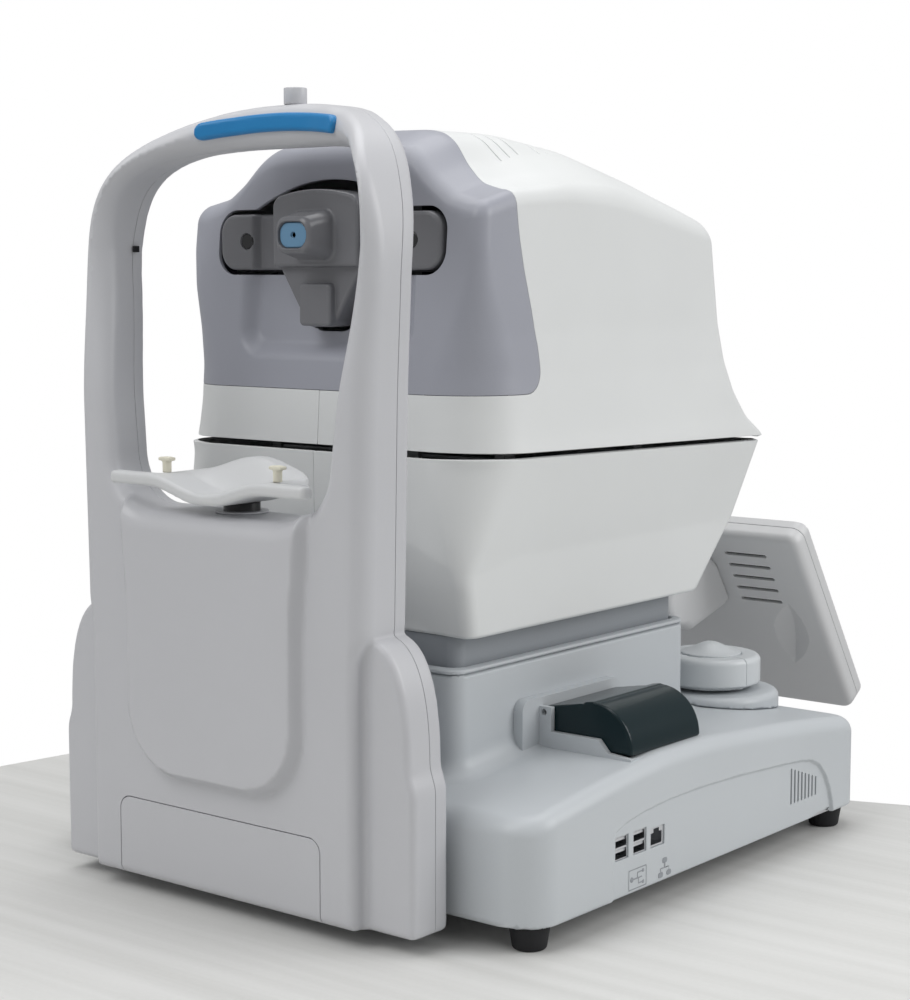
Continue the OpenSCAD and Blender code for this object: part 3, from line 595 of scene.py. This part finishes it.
v, t = surface(lower_field, (-140, -196, 160), (140, 144, 286), 2.4, 1.6)
v, t = trim(v, t, lower_field, lambda p: p[:, 2] - rim(p[:, 1]) + 0.8)
v, t = trim(v, t, lower_field, lambda p: -np.maximum(
    rounded(p[:, 0], p[:, 1], 0, -60.25, 104, 118.5, 9), p[:, 2] - 172))
for side, name in ((-1, "left"), (1, "right")):
    hv, ht = trim(v, t, lower_field, lambda p: 0.45 - side * p[:, 0])
    shell_piece("lower_shell_" + name, hv, ht, lower_field, "white_plastic", "head_lift",
                ["lower_casing_" + name], 3.0, 0.4)


# ------------------------------------------------------------------ upper casing and front panel
# By height: half width, front, rear and corner radius of the upper casing
UP_HALF = curve([(262, 133), (272, 132), (284, 129.5), (300, 127.3), (320, 124.5), (345, 122),
                 (424, 119.5)], 6)
UP_FRONT = curve([(262, -187.5), (275, -187), (306, -185), (345, -181), (424, -174), (470, -170)], 6)
UP_REAR = curve([(262, 137), (270, 133), (282, 116), (300, 103), (321, 95), (348, 90), (382, 86),
                 (420, 82)], 4)
UP_CORNER = curve([(262, 46), (300, 44), (322, 38), (345, 27), (372, 14), (395, 9), (480, 9)], 6)
# Roof height from front to rear, in the middle and at the sides
ROOF_MID = curve([(-200, 452), (-172, 455), (-138, 467.5), (-80, 468), (-23, 461), (28, 449),
                  (76, 434), (110, 420)], 10)
ROOF_SIDE = curve([(-200, 417), (-172, 421), (-140, 429), (-90, 431.5), (-33, 427), (62, 410),
                   (110, 398)], 12)
# Share of the middle height at each distance from the middle: humped at the front, sloping behind
HUMP = curve([(-60, 1.02), (0, 1.02), (45, 1.0), (56, 0.94), (65, 0.80), (78, 0.44), (93, 0.14),
              (108, 0.03), (140, 0)], 6)
SLOPE = curve([(-60, 1.04), (0, 1.04), (40, 1.0), (60, 0.94), (80, 0.72), (100, 0.42),
               (118, 0.10), (140, -0.2)], 8)
# Rear edge of the grey front panel, by height
PANEL_REAR = curve([(300, -122), (322, -124), (337, -125), (358, -129.5), (382, -136), (402, -140),
                    (420, -142), (436, -140), (452, -134), (470, -129)], 5)


def nose_wings(x, z):
    return rounded(x, z, 0, 399.5, 91, 17.5, 12)


def nose_top(ax, z):
    """Distance above the arched top of the nose block."""
    return z - 431 + (ax / 35) ** 2 * 5


def nose_taper(ax, z):
    """Distance outside the nose's tapering sides."""
    return (ax - 13.5 - np.clip(z - 352, 0, 40) * 0.64) * 0.84


def nose_outline(x, z, grow=0.0):
    """Front outline of the measuring head's nose: wings, arched block and tapering chin."""
    ax = np.abs(x)
    wings = nose_wings(x, z)
    block = soft_and((ax - 36), nose_top(ax, z), 6.0)
    block = np.maximum(block, 383 - z)
    taper = np.maximum(nose_taper(ax, z), z - 390)
    taper = soft_and(taper, 347.5 - z, 5.0)
    shoulder = np.maximum(np.maximum((z - 434 + 17 * (ax / 62) ** 2) * 0.9, ax - 62), 385 - z)
    foot = rounded(x, z, 0, 361, 18, 12, 5)
    return np.minimum(np.minimum(wings, soft_or(block, shoulder, 4.0)), np.minimum(taper, foot)) - grow


def head_front_y(x, z):
    pocket = soft_and(np.abs(x) - 72, np.abs(z - 365) - 37, 18.0)
    return UP_FRONT(z) + 9 * (1 - smooth((pocket + 11) / 12))


def roof_z(x, y):
    ax = np.abs(x)
    mix = smooth((y + 135) / 120)
    share = HUMP(ax) * (1 - mix) + SLOPE(ax) * mix
    low = ROOF_SIDE(y)
    return low + (ROOF_MID(y) - low) * share


def head_field(p):
    x, y, z = split3(p)
    half, y0, y1 = UP_HALF(z), head_front_y(x, z), UP_REAR(z)
    r = np.where(y < -60, UP_CORNER(z), 16.0)
    plain = UP_FRONT(z)
    d = rounded(x, y, 0, (plain + y1) / 2, half, (y1 - plain) / 2, r)
    d = np.maximum(d, (y0 - y) * 0.9) * 0.85
    return soft_and(d, (z - roof_z(x, y)) * 0.8, 8.0)


def panel_zone(p):
    return soft_and(p[:, 1] - PANEL_REAR(p[:, 2]), 308.4 - p[:, 2], 17.0)


# The panel's front ends here; behind it the nose opening leaves the panel whole
PANEL_FRONT_END = -150


def slot_cut(p):
    """Roof vents: seven short slots on each side of the middle."""
    x, y, z = split3(p)
    best = np.full(len(x), FAR)
    for k in range(7):
        cy = -104 + k * 10.5 + (14 if k > 2 else 0)
        best = np.minimum(best, rounded(np.abs(x), y, 66 - 1.5 * k, cy, 13, 0.85, 0.84))
    return np.maximum(best, 430 - z)


v, t = surface(head_field, (-142, -196, 255), (142, 146, 476), 2.6, 1.7)
v, t = trim(v, t, head_field, lambda p: rim(p[:, 1]) + 3.8 - p[:, 2])
pv, pt = trim(v, t, head_field, lambda p: panel_zone(p) + 0.75)
pv, pt = refine(pv, pt, head_field, lambda p: (
    (np.abs(nose_outline(p[:, 0], p[:, 2])) < 9) & (p[:, 1] < PANEL_FRONT_END)))
pv, pt = trim(pv, pt, head_field, lambda p: np.where(
    p[:, 1] > PANEL_FRONT_END, -FAR, -nose_outline(p[:, 0], p[:, 2], 3.2)), 0.2)
shell_piece("head_front_panel", pv, pt, head_field, "panel_grey", "head_y", ["front_panel"], 2.5, 0.3)
v, t = trim(v, t, head_field, lambda p: 0.15 - panel_zone(p))
for _ in range(2):
    v, t = refine(v, t, head_field, lambda p: slot_cut(p) < 2.2)
v, t = trim(v, t, head_field, lambda p: -slot_cut(p), 0.12)
for side, name in ((-1, "left"), (1, "right")):
    hv, ht = trim(v, t, head_field, lambda p: 0.45 - side * p[:, 0])
    shell_piece("upper_shell_" + name, hv, ht, head_field, "white_plastic", "head_y",
                ["upper_casing_" + name], 3.0, 0.35)


# ------------------------------------------------------------------ nose of the measuring head
# Height of the measuring axis, and the places of the two round lamp windows beside it
AXIS_Z = 403
LAMP_X, LAMP_Z = 68, 400


def nose_field(p):
    x, y, z = split3(p)
    ax = np.abs(x)
    wing_y = -178 + 6 * smooth((64 - ax) / 5)
    wings = soft_and(nose_wings(x, z), wing_y - y, 2.5)
    arched = soft_and(ax - 35, nose_top(ax, z), 6.0)
    block = soft_and(soft_and(arched, 384 - z, 1.5), -189 - y, 2.5)
    taper = soft_and(nose_taper(ax, z), 347.5 - z, 5.0)
    taper = soft_and(np.maximum(taper, z - 386), -184 - y, 2.5)
    foot = soft_and(rounded(x, z, 0, 361, 13, 13, 3), -189 - y, 2.0)
    t = np.clip((-189 - y) / 20, 0, 1)
    nozzle = soft_and(rounded(x, z, 0, AXIS_Z, 17 - 3.5 * t, 15 - 4.5 * t, 7) * 0.98, -209 - y, 3.0)
    d = soft_or(soft_or(wings, block, 1.0), taper, 1.0)
    d = soft_or(soft_or(d, foot, 0.8), nozzle, 1.5)
    socket = np.maximum(rounded(x, z, 0, AXIS_Z, 11.2, 7.8, 6.5), y + 206)
    eyes = np.maximum(np.hypot(ax - LAMP_X, z - LAMP_Z) - 5.2, y + 176.6)
    d = np.maximum(np.maximum(d, -socket), -eyes)
    return soft_and(d, y + 163.5, 0.8)


v, t = surface(nose_field, (-93, -211, 345), (93, -160, 434), 1.9)
v, t = refine(v, t, nose_field, lambda p: (p[:, 1] < -170) & (np.abs(p[:, 0]) < 40))
for _ in range(2):
    v, t = refine(v, t, nose_field, lambda p: (
        np.abs(np.hypot(np.abs(p[:, 0]) - LAMP_X, p[:, 2] - LAMP_Z) - 5) < 1.6))
solid_piece("nose_housing", v, t, nose_field, "nose_grey", "head_y", ["nose_cover"])


def lens_field(p):
    x, y, z = split3(p)
    plate = soft_and(rounded(x, z, 0, AXIS_Z, 11, 7.6, 6.3), np.abs(y + 204.6) - 2.6, 0.8)
    return np.maximum(plate, -np.maximum(np.hypot(x, z - AXIS_Z) - 1.9, y + 206))


v, t = surface(lens_field, (-13, -209, 393), (13, -200, 413), 0.8)
solid_piece("measuring_window", v, t, lens_field, "lens_glass", "head_y", ["lens_window"])


def eye_field(p):
    x, y, z = split3(p)
    return soft_and(np.hypot(np.abs(x) - LAMP_X, z - LAMP_Z) - 5.0, np.abs(y + 175.4) - 1.9, 0.8)


v, t = surface(eye_field, (-76, -179, 392), (76, -172, 408), 0.8)
solid_piece("lamp_windows", v, t, eye_field, "dark_glass", "head_y", ["side_windows"])


# ------------------------------------------------------------------ base cover with its neck
BASE_TOP = curve([(-229, 76), (-205, 80), (-146, 88), (-93, 93), (-37, 93), (55, 86), (110, 80),
                  (159, 73)], 14)
# Side view of the arched recess around the sockets and vents
ARCH = [(-149.8, 10), (-150, 34), (-150, 50), (-147, 56), (-137, 59.5), (-118, 62.5), (-91, 64.5),
        (-57, 65), (-10, 63.5), (40, 60.5), (70, 58.2), (83, 56), (94, 51), (102, 43), (108, 33),
        (112, 22), (114, 10)]
DATA_SOCKETS_Y = (-139.5, -120.5)
NETWORK_SOCKET_Y = -101.5
VENTS = 8
DIAL_X, DIAL_Y = 100, 111


def inside_outline(points, u, w):
    """Signed distance to a closed outline, below 0 inside."""
    best, inside = np.full(len(u), 1e9), np.zeros(len(u), bool)
    for (a, b), (c, d) in zip(points, points[1:] + points[:1]):
        eu, ew, pu, pw = c - a, d - b, u - a, w - b
        t = np.clip((pu * eu + pw * ew) / (eu * eu + ew * ew), 0, 1)
        best = np.minimum(best, np.hypot(pu - eu * t, pw - ew * t))
        if b != d:
            inside ^= ((b > w) != (d > w)) & (u < a + (w - b) * eu / ew)
    return np.where(inside, -best, best)


def recess(p):
    """Distance to the recess outline, on the right side only."""
    return np.where(p[:, 0] > 150, inside_outline(ARCH, p[:, 1], p[:, 2]), 30.0)


def base_field(p):
    x, y, z = split3(p)
    half = 198 - (2.0 + 0.004 * y) * (1 - smooth((recess(p) + 1.1) / 2.2))
    plan = rounded(x, y, 0, -37, 198, 192, 24)
    plan = np.maximum(plan, x - half)
    body = soft_and(plan, (z - BASE_TOP(y)) * 0.98, 10.0)
    neck = soft_and(rounded(x, y, 0, -63.5, 112, 125.5, 12), z - 144, 0.3)
    return soft_and(soft_or(body, neck, 13.0), 15 - z, 1.5)


def base_cut(p):
    """Openings of the base cover."""
    x, y, z = split3(p)
    right = 190 - x
    holes = [np.maximum(rounded(x, y, 0, -60.5, 104, 119, 9), 100 - z),
             np.maximum(rounded(x, y, 150, -75, 31, 37, 3), 70 - z),
             np.maximum(np.hypot(x - DIAL_X, y - DIAL_Y) - 6, 60 - z)]
    for cy in DATA_SOCKETS_Y:
        holes.append(np.maximum(rounded(y, z, cy, 45.2, 7.2, 7.6, 0.8), right))
    holes.append(np.maximum(rounded(y, z, NETWORK_SOCKET_Y, 44, 8, 6.4, 0.8), right))
    for i in range(VENTS):
        vent = rounded(y, z, 59.6 + 4.7 * i, 42.5 - 0.8 * i, 1.3, 12.5 - 0.8 * i, 1.2)
        holes.append(np.maximum(vent, right))
    holes.append(np.maximum(rounded(y, z, 54, 44, 14, 12, 1.5), x + 190))
    holes.append(np.maximum(rounded(y, z, 86.2, 44, 6.2, 10, 1), x + 190))
    holes.append(np.maximum(rounded(np.abs(x), z, 60, 45, 15.5, 15.5, 2), y + 222))
    holes.append(np.maximum(rounded(x, y, 0, -37, 195.5, 189.5, 22), z - 18))
    best = holes[0]
    for h in holes[1:]:
        best = np.minimum(best, h)
    return best


v, t = surface(base_field, (-201, -232, 12), (201, 158, 148), 3.4, 1.7)
for reach in (4, 2.2):
    v, t = refine(v, t, base_field, lambda p: (np.abs(recess(p)) < reach) & (p[:, 0] > 190))
for reach in (3.5, 1.8):
    v, t = refine(v, t, base_field, lambda p: (np.abs(base_cut(p)) < reach) & (np.abs(p[:, 0]) > 190))
v, t = trim(v, t, base_field, lambda p: -base_cut(p), 0.15)
shell_piece("base_shell", v, t, base_field, "base_plastic", "base", ["base_cover"], 2.4, 0.35)


def ledge_field(p):
    x, y, z = split3(p)
    ring = np.maximum(rounded(x, y, 0, -63.5, 112, 125.5, 12),
                      -rounded(x, y, 0, -60.5, 104.4, 119.4, 9))
    return soft_and(soft_and(ring, z - 147, 1.4), 144.1 - z, 0.2)


v, t = surface(ledge_field, (-115, -192, 142), (115, 65, 149), 1.7)
solid_piece("neck_ledge", v, t, ledge_field, "base_plastic", "base", ["neck_collar"])


def platform_field(p):
    x, y, z = split3(p)
    plan = rounded(x, y, 101, 109, 47, 44, 40)
    shape = soft_and(plan, z - 90.4, 5.0)
    shape = np.maximum(shape, 0.3 - base_field(p))
    return np.maximum(shape, 5 - np.hypot(x - DIAL_X, y - DIAL_Y))


v, t = surface(platform_field, (52, 62, 70), (150, 156, 92), 2.2)
solid_piece("dial_platform", v, t, platform_field, "base_plastic", "base", ["knob_platform"])


# ------------------------------------------------------------------ printer lid
def lid_side(x, z, inset):
    """Side view of the lid: a flat part beside the neck, then a hump."""
    flat = np.maximum(np.maximum(x - 156, 121 - x), (z - 115.5 - (x - 121) * 0.18) * 0.98)
    hump = np.maximum(np.hypot(x - 157, z - 94) - 28, 150 - x)
    return np.maximum(soft_or(flat, hump, 2.0), 93 - z) + inset


def lid_field(p):
    x, y, z = split3(p)
    outer = soft_and(lid_side(x, z, 0), np.abs(y + 75) - 38, 1.4)
    inner = np.maximum(np.maximum(lid_side(x, np.maximum(z, 97), 2.2), np.abs(y + 75) - 36), 123 - x)
    return np.maximum(outer, -inner)


v, t = surface(lid_field, (119, -115, 91), (187, -35, 125), 1.4)
solid_piece("printer_lid", v, t, lid_field, "smoked_cover", "printer_lid", ["printer_cover"])


# ------------------------------------------------------------------ control knob
def dial_split(x, y):
    """Distance from the dial's parting line, seen from above."""
    return np.abs((x - DIAL_X) * math.sin(0.22) + (y - DIAL_Y) * math.cos(0.22))


def dial_field(p):
    x, y, z = split3(p)
    r = np.hypot(x - DIAL_X, y - DIAL_Y)
    groove = 0.55 * (1 - smooth(dial_split(x, y) / 0.55)) * (x > 100)
    top = z + groove - 114.5 + 0.03 * np.maximum(r - 18, 0)
    ring = soft_and(soft_and(r - 35 + groove, top, 4.0), 94.6 - z, 1.2)
    foot = np.maximum(r - 30, 92.2 - z)
    ring = np.minimum(ring, np.maximum(foot, z - 100))
    # The well is deep enough for the cap to be pressed 2 mm
    well = soft_and(r - 21.6, 105.6 - z, 0.15)
    return np.maximum(np.maximum(ring, -well), 4.2 - r)


v, t = surface(dial_field, (63, 74, 90), (137, 148, 117), 1.7)
for reach in (2.4, 1.4, 0.9):
    v, t = refine(v, t, dial_field, lambda p: (
        (dial_split(p[:, 0], p[:, 1]) < reach) & (p[:, 0] > 112)))
solid_piece("dial", v, t, dial_field, "knob_plastic", "knob_dial", ["knob"])


def cap_field(p):
    x, y, z = split3(p)
    r = np.hypot(x - DIAL_X, y - DIAL_Y)
    top = 114.3 + 8.0 * np.exp(-(r / 14.5) ** 2)
    return soft_and(soft_and(r - 21.3, (z - top) * 0.86, 0.2), 110 - z, 1.0)


v, t = surface(cap_field, (77, 88, 108), (123, 134, 123), 1.3)
solid_piece("dial_cap", v, t, cap_field, "knob_plastic", "knob_cap", ["knob_button"])


# ------------------------------------------------------------------ forehead rest, chin plate, pins
def forehead_field(p):
    x, y, z = split3(p)
    front = frame_front_y(x, z)
    arched = z + 4.2 * (x / 56) ** 2
    strip = soft_and(rounded(x, arched, 0, 469, 57, 5.4, 5.2) * 0.98, (front - 3.4 - y) * 0.95, 2.6)
    return soft_and(strip, (y - front - 4) * 0.95, 0.8)


v, t = surface(forehead_field, (-58, -252, 453), (58, -212, 474), 1.7)
solid_piece("forehead_pad", v, t, forehead_field, "forehead_blue", "base", ["forehead_rest"])


def chin_top(x, y):
    """Top of the chin plate, dipped in front and raised behind, and the depth of the dip."""
    back = smooth((y + 264) / 24)
    dip = 9.5 * np.where(np.abs(x) < 48, np.cos(np.pi * x / 96) ** 2, 0)
    lip = 9.5 * np.where(np.abs(x) < 46, np.cos(np.pi * x / 92) ** 2, 0)
    return 262 - dip * (1 - back) + lip * back, dip


def chin_field(p):
    x, y, z = split3(p)
    top, dip = chin_top(x, y)
    bar, tongue = rounded(x, y, 0, -281.2, 80, 4.8, 3.5), rounded(x, y, 0, -259.2, 46, 26.8, 20)
    plan = np.maximum(soft_or(bar, tongue, 7.0), -286 - y)
    under = np.maximum(246, np.where(y < -240, 262 - dip, 262) - 7.5)
    return soft_and(soft_and(plan, (z - top) * 0.93, 2.4), (under - z) * 0.93, 2.2)


v, t = surface(chin_field, (-82, -288, 243), (82, -230, 271), 1.9, 1.8)
solid_piece("chin_tray", v, t, chin_field, "chin_plastic", "chin_rest", ["chin_plate"])


PIN_X, PIN_Y = 45.7, -270


def pin_field(p):
    x, y, z = split3(p)
    across, along = np.abs(x) - PIN_X, y - PIN_Y
    stem = soft_and(np.hypot(across, along) - 2.7, 261.6 - z, 0.4)
    head = soft_and(rounded(across, z, 0, 269.8, 5, 1.2, 0.8), np.abs(along) - 2.7, 0.8)
    return soft_and(soft_or(stem, head, 1.0), z - 271, 0.5)


v, t = surface(pin_field, (-53, -274, 260), (53, -266, 274), 0.8)
solid_piece("paper_studs", v, t, pin_field, "pin_ivory", "chin_rest", ["paper_pins"])


# ------------------------------------------------------------------ monitor
# Lean of the monitor, and the point it is placed by, 10 mm inside its back face
LEAN = math.radians(33.7)
MON_Y, MON_Z = 208.3, 154.6
# Place and turn of the finger grip in the back, across and up the monitor
GRIP_U, GRIP_H, GRIP_TURN = 100, -45, 0.20


def monitor_frame(p):
    """Positions across the monitor, through it from its back, and up along its face."""
    x, y, z = split3(p)
    dy, dz = y - MON_Y, z - MON_Z
    return x, 10 + math.cos(LEAN) * dy + math.sin(LEAN) * dz, math.cos(LEAN) * dz - math.sin(LEAN) * dy


def monitor_field(p):
    x, d, h = monitor_frame(p)
    ca, sa = math.cos(GRIP_TURN), math.sin(GRIP_TURN)
    du, dh = x - GRIP_U, h - GRIP_H
    gu, gw = du * ca - dh * sa, du * sa + dh * ca
    grip = np.clip(1 - np.abs(gu) / 14 - (gw / 31) ** 2, 0, 1)
    plan = rounded(x, h, 0, -34, 131, 84, 9)
    return soft_and(soft_and(plan, (7.0 * grip - d) * 0.88, 5.0), d - 21, 2.0)


def screen_opening(p):
    x, _, h = monitor_frame(p)
    return rounded(x, h, 0, -32, 113, 68, 3)


def near_grip(p):
    x, d, h = monitor_frame(p)
    return (np.abs(x - GRIP_U) < 17) & (np.abs(h - GRIP_H) < 34) & (d < 8)


def monitor_slots(p):
    x, d, h = monitor_frame(p)
    best = np.full(len(x), FAR)
    for i in range(5):
        best = np.minimum(best, rounded(x, h, 84, 30.2 - 11 * i, 18, 1.7, 1.6))
    return np.maximum(best, d - 4)


mv, mt = surface(monitor_field, (-134, 118, 52), (134, 294, 206), 2.7)
v, t = trim(mv, mt, monitor_field, lambda p: monitor_frame(p)[1] - 11.6)
for _ in range(2):
    v, t = refine(v, t, monitor_field, lambda p: monitor_slots(p) < 2.2)
v, t = refine(v, t, monitor_field, near_grip)
v, t = trim(v, t, monitor_field, lambda p: -monitor_slots(p), 0.12)
shell_piece("monitor_rear", v, t, monitor_field, "monitor_plastic", "monitor", ["monitor_back"], 2.4, 0.35)
v, t = trim(mv, mt, monitor_field, lambda p: 12.7 - monitor_frame(p)[1])
v, t = refine(v, t, monitor_field, lambda p: np.abs(screen_opening(p)) < 4)
v, t = trim(v, t, monitor_field,
            lambda p: np.where(monitor_frame(p)[1] > 17, -screen_opening(p), -9.0), 0.2)
shell_piece("monitor_bezel", v, t, monitor_field, "monitor_plastic", "monitor", ["monitor_front"], 2.4, 0.35)

# Side view of the monitor's bracket
BRACKET = [(140, 148), (173, 168), (208, 154), (208, 140), (204, 137), (160, 124.5), (141, 131)]


def bracket_field(p):
    x, y, z = split3(p)
    side = inside_outline(BRACKET, y, z) - 6.5
    side = soft_or(side, np.hypot(y - 141, z - 139) - 15, 4.0)
    block = soft_and(side, np.abs(x) - 56, 7.0)
    block = np.maximum(block, -np.maximum(np.abs(x) - 29.5, y - 160))
    return np.maximum(block, monitor_frame(p)[1] + 0.1)


v, t = surface(bracket_field, (-59, 122, 112), (59, 218, 180), 2.2)
solid_piece("monitor_mount", v, t, bracket_field, "monitor_plastic", "monitor", ["monitor_bracket"])


# ------------------------------------------------------------------ port symbols
# Flat marks (y, z, half width, half height): a plug in a frame, and three joined boxes
PLUG = [(-123, 29.4, 9.5, 0.35), (-123, 17.4, 9.5, 0.35), (-132.2, 23.4, 0.35, 6.2),
        (-113.8, 23.4, 0.35, 6.2), (-124, 23.4, 6.0, 0.4), (-129, 23.4, 1.6, 1.6),
        (-123, 25.1, 0.4, 1.9), (-120.6, 26.8, 2.6, 0.4), (-122, 21.7, 0.4, 1.9),
        (-119.6, 20.0, 2.6, 0.4), (-117, 26.8, 1.1, 1.1), (-117, 20.0, 1.1, 1.1)]
BOXES = [(-93.5, 27.6, 2.6, 1.7), (-98, 19.2, 2.6, 1.7), (-89, 19.2, 2.6, 1.7),
         (-93.5, 24.6, 0.35, 1.6), (-93.5, 23.1, 4.8, 0.35), (-98, 21.9, 0.35, 1.4),
         (-89, 21.9, 0.35, 1.4)]


def symbol_field(p):
    x, y, z = split3(p)
    d = np.full(len(x), FAR)
    for cy, cz, hy, hz in PLUG + BOXES:
        d = np.minimum(d, rounded(y, z, cy, cz, hy, hz, min(hy, hz) * 0.8))
    return soft_and(d, np.abs(x - 196.0 + 0.004 * y) - 0.22, 0.1)


v, t = surface(symbol_field, (195, -135, 12), (197, -85, 33), 0.42)
solid_piece("port_symbols", v, t, symbol_field, "neck_grey", "base")


# ------------------------------------------------------------------ carried-over CAD nodes
# Bevel widths in metres, where they differ from the usual one
BEVEL = {"printer_bezel": 0.0012, "top_peg": 0.0006, "upper_neck": 0.001}
USUAL_BEVEL = 0.0004
NODE_SLOT = {part["node"]: part["material_slot"] for part in frame["record"]["subparts"]}
for name, o in frame["nodes"].items():
    if o.hide_render:
        continue
    o.data.materials.clear()
    o.data.materials.append(SLOT[NODE_SLOT[name]])
    weld = o.modifiers.new("weld", "WELD")
    weld.merge_threshold = 0.00001
    flat = o.modifiers.new("flat", "DECIMATE")
    flat.decimate_type = "DISSOLVE"
    flat.angle_limit = math.radians(1)
    bevel = o.modifiers.new("bevel", "BEVEL")
    bevel.width = BEVEL.get(name, USUAL_BEVEL)
    bevel.segments = 2
    bevel.limit_method = "ANGLE"
    bevel.angle_limit = math.radians(35)
    bevel.harden_normals = True
